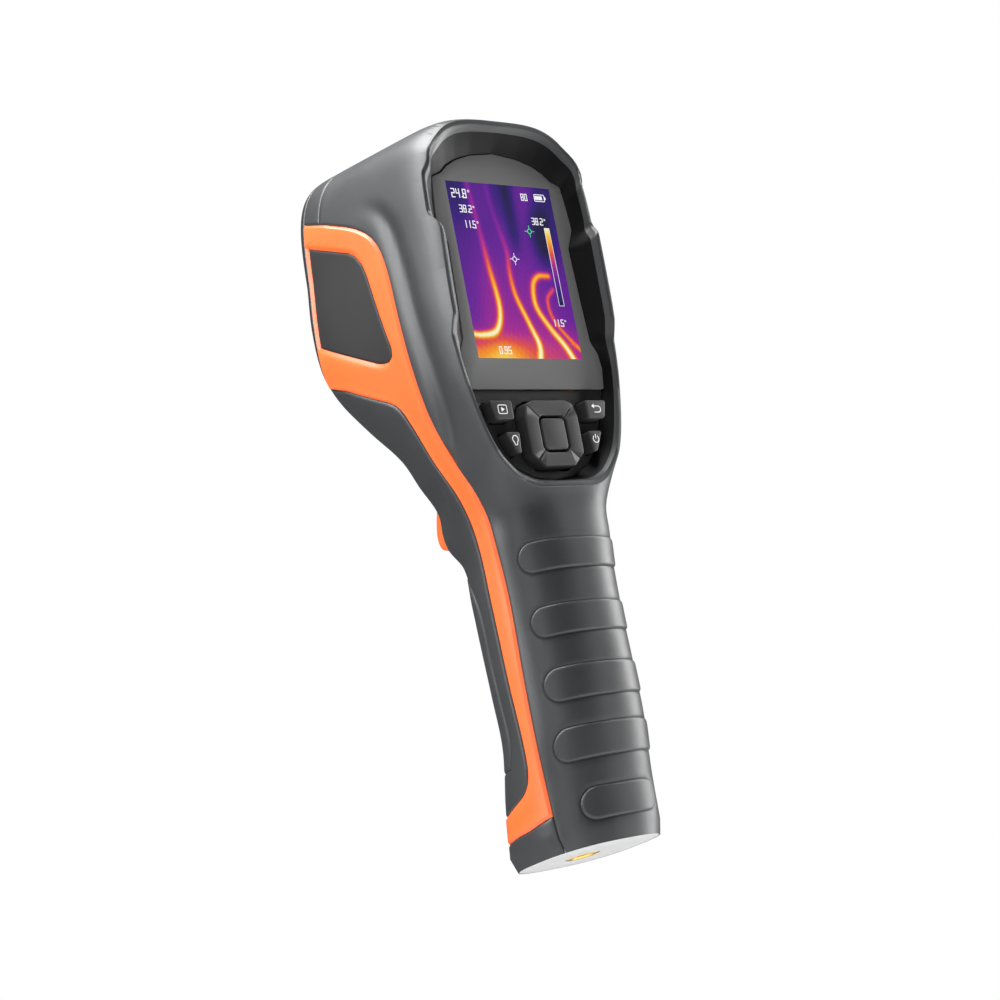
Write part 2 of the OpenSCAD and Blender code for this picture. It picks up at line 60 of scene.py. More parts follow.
# ============ numbers shared with the CAD, in millimetres ============
HANDLE = 18.8
HEAD = 30.2
TOP_R = 32.0
TOP_ROUND = 3.6
SHOULDER = 172.0
TILT = math.radians(7.5)
LENS = math.radians(13.0)
PIVOT = (0.0, -37.8, 151.3)
BEZEL_B = 53.6
RING_B = 44.6
GAP = 0.07
# height, front y, front z, rear y, rear z, half width, front and rear roundness, widest place
STATIONS = np.array([
    (4, 14.8, 4, -20.6, 4, HANDLE + 0.8, 2.6, 2.6, 0.5),
    (17, 11.2, 17, -22.9, 17, HANDLE + 0.4, 2.6, 2.6, 0.5),
    (31, 6.0, 31, -26.0, 31, HANDLE + 0.1, 2.6, 2.6, 0.5),
    (45, 4.8, 45, -27.9, 45, HANDLE, 2.6, 2.6, 0.5),
    (58, 3.8, 58, -29.4, 58, HANDLE, 2.6, 2.6, 0.5),
    (70, 2.6, 70, -31.1, 70, HANDLE + 0.2, 2.6, 2.6, 0.5),
    (80, 2.4, 80, -32.4, 80, HANDLE + 0.5, 2.5, 2.8, 0.46),
    (88, 8.5, 88, -33.2, 87, HANDLE + 1.2, 2.3, 3.2, 0.44),
    (96, 11.5, 96, -35.8, 94, HANDLE + 2.8, 2.2, 4.2, 0.42),
    (105, 11.5, 105, -39.4, 102, HEAD - 6.4, 2.2, 6.0, 0.42),
    (115, 12.6, 115, -41.6, 111, HEAD - 4.2, 2.4, 8.0, 0.45),
    (127, 18.5, 127, -43.4, 121, HEAD - 2.1, 3.0, 9.0, 0.5),
    (138, 23.2, 138, -44.8, 131, HEAD - 0.8, 3.8, 9.0, 0.55),
    (148, 24.8, 148, -46.0, 140, HEAD - 0.1, 4.6, 9.0, 0.58),
    (160, 23.4, 160, -47.4, 150, HEAD, 5.0, 9.0, 0.6),
    (172, 20.6, 172, -48.8, 160, HEAD - 0.2, 5.0, 9.0, 0.6)])


# ============ curves ============
def hermite(knots, values, s):
    """Smooth curve through values at knots, the same one the CAD uses. s is an array."""
    s = np.clip(np.asarray(s, float), knots[0], knots[-1])
    i = np.clip(np.searchsorted(knots, s, side="right") - 1, 0, len(knots) - 2)
    a = np.maximum(0, np.arange(len(knots)) - 1)
    b = np.minimum(len(knots) - 1, np.arange(len(knots)) + 1)
    slope = (values[b] - values[a]) / (knots[b] - knots[a])
    h = knots[i + 1] - knots[i]
    t = (s - knots[i]) / h
    return ((2 * t**3 - 3 * t**2 + 1) * values[i] + (t**3 - 2 * t**2 + t) * h * slope[i]
            + (3 * t**2 - 2 * t**3) * values[i + 1] + (t**3 - t**2) * h * slope[i + 1])


def through(points, n):
    p = np.array(points, float)
    k = np.arange(len(p), dtype=float)
    t = np.linspace(0, len(p) - 1, (len(p) - 1) * n + 1)
    return np.stack([hermite(k, p[:, 0], t), hermite(k, p[:, 1], t)], 1)


def resample(line, step, closed=False):
    """Points about step apart along a polyline, keeping its own corners."""
    line = np.asarray(line, float)
    if closed:
        line = np.vstack([line, line[:1]])
    out = []
    for p, q in zip(line[:-1], line[1:]):
        n = max(1, int(math.ceil(np.linalg.norm(q - p) / step)))
        out += [p + (q - p) * k / n for k in range(n)]
    if not closed:
        out.append(line[-1])
    return np.array(out)


def offset_line(line, d, closed=False):
    """The polyline moved d to its left."""
    p = np.asarray(line, float)
    if closed:
        before, after = np.roll(p, 1, 0), np.roll(p, -1, 0)
    else:
        before, after = np.vstack([p[:1], p[:-1]]), np.vstack([p[1:], p[-1:]])
    u, v = p - before, after - p
    u[np.linalg.norm(u, axis=1) < 1e-9] = v[np.linalg.norm(u, axis=1) < 1e-9]
    v[np.linalg.norm(v, axis=1) < 1e-9] = u[np.linalg.norm(v, axis=1) < 1e-9]
    u /= np.maximum(np.linalg.norm(u, axis=1), 1e-9)[:, None]
    v /= np.maximum(np.linalg.norm(v, axis=1), 1e-9)[:, None]
    nu, nv = np.stack([-u[:, 1], u[:, 0]], 1), np.stack([-v[:, 1], v[:, 0]], 1)
    m = nu + nv
    m /= np.maximum(0.6, (m * nu).sum(1))[:, None]
    return p + m * d


def distance(points, line, closed=False):
    """Unsigned distance from each point to a polyline."""
    line = np.asarray(line, float)
    if closed:
        line = np.vstack([line, line[:1]])
    best = np.full(len(points), 1e9)
    for p, q in zip(line[:-1], line[1:]):
        d = q - p
        n = max(1e-12, float(d @ d))
        t = np.clip(((points - p) @ d) / n, 0, 1)
        best = np.minimum(best, np.linalg.norm(points - p - t[:, None] * d, axis=1))
    return best


def inside(points, poly):
    """True where a point is inside a closed polygon."""
    poly = np.asarray(poly, float)
    x, y = points[:, 0], points[:, 1]
    hit = np.zeros(len(points), bool)
    for (x0, y0), (x1, y1) in zip(poly, np.roll(poly, -1, 0)):
        if y0 == y1:
            continue
        cross = (y0 > y) != (y1 > y)
        hit ^= cross & (x < (x1 - x0) * (y - y0) / (y1 - y0) + x0)
    return hit


def smooth(x):
    x = np.clip(x, 0, 1)
    return x * x * (3 - 2 * x)


def head_yz(b, c):
    return (PIVOT[1] + b * math.cos(LENS) - c * math.sin(LENS),
            PIVOT[2] + b * math.sin(LENS) + c * math.cos(LENS))


def to_head(yz):
    y, z = yz[..., 0] - PIVOT[1], yz[..., 1] - PIVOT[2]
    return np.stack([y * math.cos(LENS) + z * math.sin(LENS), z * math.cos(LENS) - y * math.sin(LENS)], -1)


def display_point(x, y, z):
    return (PIVOT[0] + x, PIVOT[1] + y * math.cos(TILT) - z * math.sin(TILT),
            PIVOT[2] + y * math.sin(TILT) + z * math.cos(TILT))


def to_display(p):
    y, z = p[..., 1] - PIVOT[1], p[..., 2] - PIVOT[2]
    return np.stack([p[..., 0], y * math.cos(TILT) + z * math.sin(TILT),
                     z * math.cos(TILT) - y * math.sin(TILT)], -1)


# ============ the body's surface ============
END = SHOULDER + 90.0


def section(u):
    """Front point, rear point, half width, roundness and widest place of the section at u."""
    u = np.asarray(u, float)
    h = np.minimum(u, SHOULDER)
    col = [hermite(STATIONS[:, 0], STATIONS[:, k], h) for k in range(1, 9)]
    fy, fz, ry, rz, w, nf, nr, m = col
    phi = np.radians(np.clip(u - SHOULDER, 0, 90))
    r = (np.cos(phi) ** TOP_ROUND + np.sin(phi) ** TOP_ROUND) ** (-1 / TOP_ROUND)
    lift, narrow = r * np.sin(phi) * TOP_R, r * np.cos(phi)
    fy = fy - lift * math.tan(LENS) * 0.8
    ry = ry - lift * math.tan(LENS) * 0.2
    t = np.clip((4 - u) / 4, 0, 1) * 0.055
    fy, ry, w = fy - t * (fy + 2.6), ry - t * (ry + 2.6), w * (1 - t)
    drop = np.minimum(0, u - 4)
    return fy, fz + lift + drop, ry, rz + lift + drop, w * narrow, nf, nr, m


def surface(u, th):
    """Points of the outer surface; th is the angle from the front."""
    fy, fz, ry, rz, w, nf, nr, m = section(u)
    c, s = np.cos(th), np.abs(np.sin(th))
    n = np.where(c > 0, nf, nr)
    r = (np.abs(c) ** n + s ** n) ** (-1 / n)
    q = r * c
    f = m + np.where(c > 0, (1 - m) * q, m * q)
    return np.stack([w * r * s, ry + (fy - ry) * f, rz + (fz - rz) * f], -1)


def normal(u, th):
    e = 0.02
    th = np.clip(th, 2 * e, math.pi - 2 * e)
    u = np.clip(u, 0.0, END - 1.5)
    a = surface(u + 0.2, th) - surface(u - 0.2, th)
    b = surface(u, th + e) - surface(u, th - e)
    n = np.cross(a, b)
    return n / np.maximum(1e-12, np.linalg.norm(n, axis=-1))[..., None]


def angle_at(f, u):
    """Angle from the front at which a section reaches fraction f of its depth."""
    fy, fz, ry, rz, w, nf, nr, m = section(u)
    front = f > m
    q = np.clip(np.where(front, (f - m) / (1 - m), (m - f) / m), 0, 1)
    n = np.where(front, nf, nr)
    x = np.maximum(0, 1 - q ** n) ** (1 / n)
    return np.arctan2(x, np.where(front, q, -q))


def on_side(yz):
    """Surface parameters of side-view points (y, z)."""
    yz = np.asarray(yz, float)
    lo, hi = np.full(len(yz), 0.0), np.full(len(yz), END)
    for _ in range(40):
        mid = (lo + hi) / 2
        fy, fz, ry, rz = section(mid)[:4]
        above = (fy - ry) * (yz[:, 1] - rz) - (fz - rz) * (yz[:, 0] - ry) > 0
        lo, hi = np.where(above, mid, lo), np.where(above, hi, mid)
    u = (lo + hi) / 2
    fy, fz, ry, rz = section(u)[:4]
    f = ((yz[:, 0] - ry) * (fy - ry) + (yz[:, 1] - rz) * (fz - rz)) / ((fy - ry) ** 2 + (fz - rz) ** 2)
    return np.stack([u, angle_at(f, u)], 1)


def on_face(xz, rear):
    """Surface parameters of front-view or rear-view points (x, z)."""
    xz = np.asarray(xz, float)
    u = xz[:, 1].copy()
    for _ in range(30):
        fy, fz, ry, rz, w, nf, nr, m = section(u)
        n = nr if rear else nf
        x = np.clip(np.abs(xz[:, 0]) / w, 0, 0.9999)
        q = (1 - x ** n) ** (1 / n)
        th = np.arctan2(x, -q if rear else q)
        u = u + (xz[:, 1] - surface(u, th)[:, 2]) * 0.9
    return np.stack([u, th], 1)


# ============ side-view outlines, (y, z) ============
REAR_LINE = through([(-13.2, 9.5), (-14.4, 22), (-17.0, 44.7), (-19.9, 64.6), (-21.3, 78.1), (-22.2, 92.3),
                     (-20.2, 104), (-19.0, 116), (-19.8, 129), (-21.4, 145.4), (-22.0, 159), (-19.8, 168),
                     (-13.4, 174.8), (-1.6, 182.2)], 8)
FRONT_LINE = through([(9.6, 137.1), (0, 130.7), (-8.5, 124.6), (-11.0, 118), (-12.6, 107), (-15.4, 94.9),
                      (-15.1, 81.3), (-13.2, 65), (-11.4, 46.3), (-10.6, 30.3), (-9.4, 22), (-6.4, 17.8),
                      (-1.5, 15.8), (3.6, 14.6)], 8)
TRIM_TOP = [(8.3, 187.2), head_yz(BEZEL_B + 2, 25.8)]
TRIM_LOW = [(-13.2, 9.5), (-5, 8.2), (5.9, 7.5), (20, 7.2)]
TRIM = np.vstack([REAR_LINE, TRIM_TOP, [head_yz(BEZEL_B + 2, -21)], FRONT_LINE, [(20, 14.2)], TRIM_LOW[::-1]])
INLAY = np.array([head_yz(BEZEL_B - 1.9, 17.4), (-8, 170.2), (-10.4, 168), (-12.3, 164.6), (-13.1, 160.9),
                  (-14.5, 141), (-14.6, 138.8), (-13.8, 136.8), (-12, 136), (-9.6, 136.6), (-7.4, 137.6),
                  head_yz(BEZEL_B - 1.9, -10.6)])
REAR_TOP = [REAR_LINE[-1], head_yz(RING_B, 22.4), head_yz(RING_B, 60)]
REAR_FOOT = [(-12.1, -9), (-13.2, 9.5)]
REAR = np.vstack([[(-12.1, -9)], REAR_LINE, REAR_TOP[1:], [(-90, 230), (-90, -9)]])
GRIP_LINE = through([(-3, 25), (-5.8, 31), (-6.2, 40), (-6.6, 52), (-7.8, 62), (-7.2, 70), (-3.5, 77.5)], 8)
GRIP = np.vstack([GRIP_LINE, [(25, 77.5), (25, 25)]])

# ============ outlines along the display's axis, (x, z) ============
GLASS = [(0, 33.2), (8, 32.2), (13.3, 30.6), (16.8, 28.7), (19.2, 26.6), (22.6, 25.2), (23.4, 19), (23.9, 12.7),
         (21.3, 7), (21.8, -7.3), (22.4, -19.3), (24.4, -23), (24.9, -27), (24.0, -33)]
DECK = [(24.0, -33), (22.7, -36), (19.4, -44), (17.2, -49.3), (13.2, -53.7), (7, -56.8), (0, -57.8)]
# depth of the hood's edge at each height
RIM = [(-64, -12), (-60.4, -3.6), (-19.5, -2.9), (-14, -5.0), (10, -5.8), (13.5, -2.9), (25, -2.9),
       (27.5, -4.4), (60, -4.4)]
CHIN_TOP, CHIN_W, CHIN_H, CHIN_POWER, CHIN_SLOPE = -38, 27.4, 23.6, 2.2, 25


def rim_depth(z, x=0.0):
    """Depth of the hood's edge in the display frame; below the keys it follows a round chin."""
    r = np.array(RIM)
    low = np.maximum(0, CHIN_TOP - np.asarray(z)) / CHIN_H
    outside = np.maximum(0, (np.abs(x) / CHIN_W) ** CHIN_POWER + low ** CHIN_POWER - 1) * (low > 0)
    return np.interp(z, r[:, 0], r[:, 1]) - CHIN_SLOPE * outside


def mirrored(half):
    half = [tuple(p) for p in half]
    return half + [(-x, z) for x, z in half[::-1] if x > 1e-6]


def rounded(poly, r, n=4):
    """A closed outline with its corners rounded to about radius r."""
    p = np.array(poly, float)
    out = []
    for i in range(len(p)):
        a, b, c = p[i - 1], p[i], p[(i + 1) % len(p)]
        u, v = a - b, c - b
        lu, lv = np.linalg.norm(u), np.linalg.norm(v)
        u, v = u / lu, v / lv
        turn = math.pi - math.acos(max(-1, min(1, float(u @ v))))
        cut = min(r * math.tan(turn / 2), 0.45 * lu, 0.45 * lv)
        p0, p1 = b + u * cut, b + v * cut
        for k in range(n + 1):
            t = k / n
            out.append((1 - t) ** 2 * p0 + 2 * t * (1 - t) * b + t * t * p1)
    return np.array(out)


# ============ materials ============
def node_material(name):
    mat = bpy.data.materials.new(name)
    mat.use_nodes = True
    return mat, mat.node_tree, mat.node_tree.nodes["Principled BSDF"]


def plug(nt, node, sockets):
    """Gives each named socket its value, or a link where the value is another node's output."""
    for name, value in sockets.items():
        if isinstance(value, bpy.types.NodeSocket):
            nt.links.new(value, node.inputs[name])
        else:
            node.inputs[name].default_value = value


def add_node(nt, kind, sockets):
    node = nt.nodes.new("ShaderNode" + kind)
    plug(nt, node, sockets)
    return node


def noise(nt, scale, detail, rough, vec):
    sockets = {"Scale": scale, "Detail": detail, "Roughness": rough, "Vector": vec}
    return add_node(nt, "TexNoise", sockets).outputs["Fac"]


def object_coords(nt):
    return nt.nodes.new("ShaderNodeTexCoord").outputs["Object"]


def ramp(nt, fac, stops):
    n = add_node(nt, "ValToRGB", {"Fac": fac})
    for e, (pos, col) in zip(n.color_ramp.elements, stops):
        e.position = pos
        e.color = (*col, 1.0)
    return n.outputs["Color"]


def grained(name, colour, rough=0.5, grain=1800.0, bump=0.15, wear=0.25, vary=0.12, metallic=0.0, coat=0.0,
            brushed=False, spec=0.5):
    """Moulded or metal surface: fine grain, uneven roughness, and edges worn a little lighter."""
    mat, nt, bsdf = node_material(name)
    vec = vec_fine = object_coords(nt)
    if brushed:
        vec_fine = add_node(nt, "Mapping", {"Scale": (1.0, 1.0, 30.0), "Vector": vec}).outputs["Vector"]
    fine = noise(nt, grain, 3.0, 0.6, vec_fine)
    broad = noise(nt, 55.0, 5.0, 0.6, vec)
    geo = nt.nodes.new("ShaderNodeNewGeometry")
    edge = ramp(nt, geo.outputs["Pointiness"], [(0.5, (0, 0, 0)), (0.56, (1, 1, 1))])
    worn = nt.nodes.new("ShaderNodeMath")
    worn.operation = "MULTIPLY"
    nt.links.new(edge, worn.inputs[0])
    worn.inputs[1].default_value = wear
    c = Vector(colour)
    dark, pale = (*(c * (1 - vary)), 1), (*(c * (1 + vary)), 1)
    base = add_node(nt, "MixRGB", {"Color1": dark, "Color2": pale, "Fac": broad})
    lighter = (*[min(1.0, v * 1.5 + 0.04) for v in colour], 1)
    light = add_node(nt, "MixRGB", {"Fac": worn.outputs[0], "Color1": base.outputs["Color"], "Color2": lighter})
    limits = {"To Min": max(0.03, rough - 0.08), "To Max": rough + 0.08}
    uneven = add_node(nt, "MapRange", {"Value": broad, **limits})
    relief = add_node(nt, "Bump", {"Strength": bump, "Distance": 0.00008, "Height": fine})
    plug(nt, bsdf, {"Base Color": light.outputs["Color"], "Roughness": uneven.outputs["Result"],
                    "Normal": relief.outputs["Normal"], "Metallic": metallic, "Coat Weight": coat,
                    "Specular IOR Level": spec})
    return mat


def lit(name, colour):
    """Lit pixels of one colour, a little uneven."""
    mat, nt, bsdf = node_material(name)
    grain = noise(nt, 3000.0, 2.0, 0.5, object_coords(nt))
    glow = ramp(nt, grain, [(0.0, [c * 0.9 for c in colour]), (1.0, colour)])
    plug(nt, bsdf, {"Emission Color": glow, "Emission Strength": 1.0, "Base Color": (0, 0, 0, 1)})
    return mat


M = {
    "shell": grained("shell_plastic", (0.030, 0.032, 0.034), 0.42, 2600, 0.30, 0.18),
    "shell_front": grained("front_plastic", (0.026, 0.028, 0.030), 0.42, 2600, 0.30, 0.18),
    "trim": grained("trim_plastic", (0.92, 0.128, 0.026), 0.36, 2600, 0.12, 0.30, 0.05),
    "inlay": grained("inlay_plastic", (0.016, 0.016, 0.017), 0.50, 2600, 0.20, 0.15, spec=0.3),
    "grip": grained("grip_rubber", (0.022, 0.024, 0.027), 0.55, 1500, 0.45, 0.15),
    "hood": grained("hood_plastic", (0.012, 0.012, 0.013), 0.45, 2600, 0.25, 0.15),
    # recess walls: black plastic made almost pure black, with little sheen, as painted shade of the deep hood
    "recess_shade": grained("recess_black_with_painted_shade", (0.0016, 0.0016, 0.0016), 0.5, 2600, 0.25, 0.0, spec=0.12),
    "border": grained("window_border", (0.135, 0.135, 0.136), 0.36, 900, 0.02, 0.0, 0.03, coat=0.12),
    "deck": grained("keypad_plastic", (0.013, 0.013, 0.014), 0.5, 2600, 0.25, 0.12, spec=0.25),
    "key": grained("key_rubber", (0.026, 0.026, 0.027), 0.55, 2600, 0.25, 0.2, spec=0.4),
    "mark": grained("key_print", (0.82, 0.82, 0.82), 0.5, 1500, 0.05, 0.0, 0.03),
    "black": grained("black_plastic", (0.012, 0.012, 0.013), 0.4, 2200, 0.2, 0.15),
    "gloss": grained("black_gloss", (0.010, 0.010, 0.011), 0.14, 1200, 0.03, 0.1, coat=0.5),
    "base": grained("base_plastic", (0.47, 0.47, 0.475), 0.45, 2200, 0.2, 0.05, 0.04),
    "brass": grained("turned_brass", (0.80, 0.52, 0.13), 0.28, 2200, 0.10, 0.3, 0.08, metallic=1.0, brushed=True),
    "steel": grained("brushed_steel", (0.56, 0.56, 0.57), 0.30, 1800, 0.10, 0.3, 0.08, metallic=1.0, brushed=True),
    "gold": grained("plated_contact", (0.86, 0.62, 0.28), 0.25, 1800, 0.08, 0.3, 0.06, metallic=1.0),
    "board": grained("circuit_board", (0.012, 0.12, 0.045), 0.32, 700, 0.25, 0.1, 0.3, coat=0.2),
    "cast": grained("cast_metal", (0.36, 0.37, 0.39), 0.48, 900, 0.5, 0.3, 0.12, metallic=0.9),
    "ceramic": grained("ceramic_package", (0.45, 0.36, 0.25), 0.35, 900, 0.1, 0.2, 0.1),
    "barrel": grained("barrel_anodised", (0.014, 0.014, 0.015), 0.34, 2000, 0.2, 0.3, metallic=0.4),
    "germanium": grained("germanium_coated", (0.26, 0.16, 0.21), 0.10, 500, 0.02, 0.1, 0.25, metallic=0.85),
    "silicone": grained("silicone_mat", (0.09, 0.095, 0.10), 0.6, 1500, 0.3, 0.1),
    "cell": grained("cell_sleeve", (0.03, 0.13, 0.34), 0.25, 800, 0.05, 0.1, 0.05, coat=0.4),
    "cradle": grained("cradle_plastic", (0.03, 0.03, 0.033), 0.5, 2000, 0.3, 0.15),
    "led": grained("led_phosphor", (0.85, 0.74, 0.25), 0.4, 1500, 0.1, 0.0, 0.06),
    "clear": grained("clear_moulding", (0.72, 0.75, 0.78), 0.08, 800, 0.02, 0.0, 0.03, coat=0.6),
    "smoke": grained("dark_window", (0.015, 0.016, 0.018), 0.06, 800, 0.01, 0.0, 0.03, coat=0.8),
    "cover": grained("soft_cover", (0.024, 0.026, 0.029), 0.52, 1500, 0.35, 0.15),
    "lit_white": lit("lit_white", (0.95, 0.95, 0.95)),
    "lit_green": lit("lit_green", (0.05, 0.9, 0.2)),
    "lit_red": lit("lit_red", (0.9, 0.08, 0.03)),
}


# ============ mesh makers ============
def add_piece(name, me, mat, nodes=(), body="camera"):
    """Puts a mesh in the scene, on its body, in place of the CAD nodes that it stands for."""
    me.materials.append(mat)
    ob = bpy.data.objects.new(name, me)
    bpy.context.scene.collection.objects.link(ob)
    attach(ob, body)
    if nodes:
        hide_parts(*nodes)
    return ob


def mesh_of(name, verts, faces):
    me = bpy.data.meshes.new(name)
    points = [tuple(float(c) * MM for c in v) for v in verts]
    me.from_pydata(points, [], [tuple(int(i) for i in f) for f in faces])
    return me


def make(name, verts, faces, mat, nodes=(), body="camera"):
    me = mesh_of(name, verts, faces)
    me.validate()
    me.polygons.foreach_set("use_smooth", [True] * len(me.polygons))
    return add_piece(name, me, mat, nodes, body)


def finish_surface(bm, me, angle):
    """Outward normals, smooth faces, and edges that stay sharp from angle on."""
    bmesh.ops.recalc_face_normals(bm, faces=bm.faces)
    for f in bm.faces:
        f.smooth = True
    for e in bm.edges:
        if len(e.link_faces) == 2:
            e.smooth = e.calc_face_angle(0) < math.radians(angle)
    bm.to_mesh(me)
    bm.free()


def clean(me, merge, sliver, angle):
    """Joins corners closer than merge and drops slivers, both in millimetres."""
    bm = bmesh.new()
    bm.from_mesh(me)
    bmesh.ops.remove_doubles(bm, verts=bm.verts, dist=merge * MM)
    if sliver:
        bmesh.ops.dissolve_degenerate(bm, edges=bm.edges, dist=sliver * MM)
    finish_surface(bm, me, angle)


# ============ the skin of the body, cut along every seam ============
RADIUS = 22.0                       # turns the angle round the body into a length, for even triangles


def to_plane(ut):
    return np.stack([ut[:, 0], ut[:, 1] * RADIUS], 1)


class Sheet:
    """Collects points and lines on the unrolled half body, and cuts it into triangles."""

    def __init__(self):
        self.points, self.edges, self.loose = [], [], []

    def line(self, ut, closed=False):
        p = to_plane(np.asarray(ut, float))
        p[:, 0] = np.clip(p[:, 0], 0, END)
        p[:, 1] = np.clip(p[:, 1], 0, math.pi * RADIUS)
        keep = [0]
        for i in range(1, len(p)):
            if np.linalg.norm(p[i] - p[keep[-1]]) > 0.02:
                keep.append(i)
        p = p[keep]
        n0 = len(self.points)
        self.points += [tuple(q) for q in p]
        self.edges += [(n0 + i, n0 + i + 1) for i in range(len(p) - 1)]
        if closed:
            self.edges.append((n0 + len(p) - 1, n0))

    def grid(self, us, thetas):
        for u in us:
            for t in thetas:
                self.loose.append((u, t * RADIUS))

    def cut(self):
        """Grid points too near a line are left out, so no thin triangles appear beside the seams."""
        near = []
        for i, j in self.edges:
            a_, b_ = np.array(self.points[i]), np.array(self.points[j])
            k = int(np.linalg.norm(b_ - a_) / 0.3) + 1
            near += [a_ + (b_ - a_) * m / k for m in range(k + 1)]
        tree = kdtree.KDTree(len(near))
        for i, q in enumerate(near):
            tree.insert((q[0], q[1], 0), i)
        tree.balance()
        for q in self.loose:
            on_border = q[0] in (0, 4, END) or q[1] < 1e-6 or q[1] > math.pi * RADIUS - 1e-6
            if on_border or tree.find((q[0], q[1], 0))[2] > 0.34:
                self.points.append(q)
        v, e, f, _, _, _ = delaunay_2d_cdt([Vector(p) for p in self.points], self.edges, [], 0, 1e-4)
        p = np.array([tuple(q) for q in v])
        return np.stack([p[:, 0], p[:, 1] / RADIUS], 1), np.array([list(t) for t in f])


sheet = Sheet()
us = np.concatenate([[0, 4], np.arange(6, SHOULDER, 1.6), SHOULDER + np.arange(0, 90.1, 2.5)])
# closer together over the head's rear corner, 135 degrees round from the front
CORNER = np.radians(135 + np.array([-5.2, -3.3, -1.9, -0.9, 0, 0.9, 1.9, 3.3, 5.2]))
even = np.linspace(0, math.pi, 49)
low_u, high_u = us[us < 90], us[us >= 90]
sheet.grid(low_u, even)
away = even[np.abs(even - math.radians(135)) > math.radians(6.2)]
sheet.grid(high_u, np.sort(np.concatenate([away, CORNER])))
# finer over the shallow valley in the head's side
FINE = (92.0, 215.0, math.radians(84) * RADIUS, math.radians(133) * RADIUS)
sheet.loose = [q for q in sheet.loose if not (FINE[0] < q[0] < FINE[1] and FINE[2] < q[1] < FINE[3])]
fine_u = np.concatenate([np.arange(FINE[0] + 0.6, SHOULDER, 0.85), np.arange(SHOULDER + 0.6, FINE[1], 1.3)])
sheet.grid(fine_u, np.arange(FINE[2] + 0.3, FINE[3], 0.8) / RADIUS)
for start, stop in (((0, 0), (0, math.pi)), ((END, 0), (END, math.pi)), ((0, 0), (END, 0)),
                    ((0, math.pi), (END, math.pi))):
    sheet.line([start, stop])
sheet.line([(4, t) for t in np.linspace(0, math.pi, 60)])


def seam(line, closed=False, offsets=(GAP, 0.22, 0.45, 0.85)):
    """Lines on both sides of a side-view seam, which hold its gap and its rounded edges."""
    for d in offsets:
        for side in (-1, 1):
            sheet.line(on_side(resample(offset_line(line, side * d, closed), 1.3, closed)), closed)


TOP_SEAM = resample([REAR_LINE[-1], *TRIM_TOP[:1], head_yz(BEZEL_B, 25.3)], 1.0)
BEZEL_SEAM = resample([head_yz(BEZEL_B, -60), head_yz(BEZEL_B, 44)], 1.0)
FRONT_EDGE = resample([head_yz(BEZEL_B, -22.2), FRONT_LINE[0]], 1.0)
BAND_TOP = resample([(3.6, 14.6), (20, 14.2)], 2.0)
GRIP_TOP, GRIP_LOW = [(-3.5, 77.5), (10, 77.5)], [(-3, 25), (12, 25)]
for line in (REAR_LINE, TOP_SEAM, FRONT_LINE, FRONT_EDGE, resample(TRIM_LOW, 2.0), BAND_TOP):
    seam(line)
seam(INLAY, closed=True, offsets=(GAP, 0.22, 0.45, 0.9, 1.3))
for line in (BEZEL_SEAM, resample(REAR_TOP, 1.0), resample(REAR_FOOT, 1.0), GRIP_LINE, resample(GRIP_TOP, 1.0),
             resample(GRIP_LOW, 1.0)):
    seam(line)

# grip pads on the back of the handle: (top height, bottom height, left end)
PADS = [(77.5, 69.7, 20.6), (60.8, 53.0, 20.6), (44.8, 36.3, 20.6), (29.5, 21.2, 20.6), (14.0, 5.9, 14.6)]


def pad_outline(top, low, end):
    """Half outline of a pad with a round end, on the unrolled handle: (way round from the back, height)."""
    h = top - low
    flat = [(0, top), (end * 0.3, top), (end - 0.62 * h, top)]
    for k in range(1, 8):
        t = math.pi / 2 - math.pi * k / 8
        flat.append((end - 0.62 * h + 0.62 * h * math.cos(t), (top + low) / 2 + h / 2 * math.sin(t)))
    flat += [(end - 0.62 * h, low), (end * 0.3, low), (0, low)]
    return np.array(through(flat, 4))


PAD_LINES = [pad_outline(*p) for p in PADS]
for p in PAD_LINES:
    for d in (-0.9, -0.5, -0.2, 0.1, 0.4, 0.7):
        q = resample(offset_line(p, d), 0.9)
        q[:, 0] = np.maximum(q[:, 0], 0)
        x = surface(q[:, 1], math.pi - q[:, 0] / RADIUS)[:, 0]
        sheet.line(on_face(np.stack([x, q[:, 1]], 1), True))

# openings in the front for the lens and the small windows: centre, height along the head, radius
FRONT_HOLES = [(0.0, 14.0, 10.15), (10.0, -9.0, 4.15)]


def on_front(x, c):
    """Surface parameters of points seen along the lens: distance from the middle, height along the head."""
    b = np.full(len(x), 60.0)
    for _ in range(8):
        ut = on_face(np.stack([x, head_yz(b, c)[1]], 1), False)
        b = to_head(surface(ut[:, 0], ut[:, 1])[:, 1:])[:, 0]
    return ut


for x0, c0, r0 in FRONT_HOLES:
    for d in (0.0, 0.22, 0.5, 0.9):
        if x0 == 0:
            turn = np.linspace(-math.pi / 2, math.pi / 2, 36)
        else:
            turn = np.linspace(0, 2 * math.pi, 32, endpoint=False)
        sheet.line(on_front(x0 + (r0 + d) * np.cos(turn), c0 + (r0 + d) * np.sin(turn)), closed=x0 > 0)

# trigger slot in the front
SLOT_W, SLOT_LOW, SLOT_TOP = 6.35, 89.3, 109.5
SLOT = resample([(0, SLOT_TOP), (SLOT_W, SLOT_TOP), (SLOT_W, SLOT_LOW), (0, SLOT_LOW)], 0.8)
for d in (0.0, 0.3, 0.7):
    q = offset_line(SLOT, d)
    q[:, 0] = np.maximum(q[:, 0], 0)
    sheet.line(on_face(q, False))


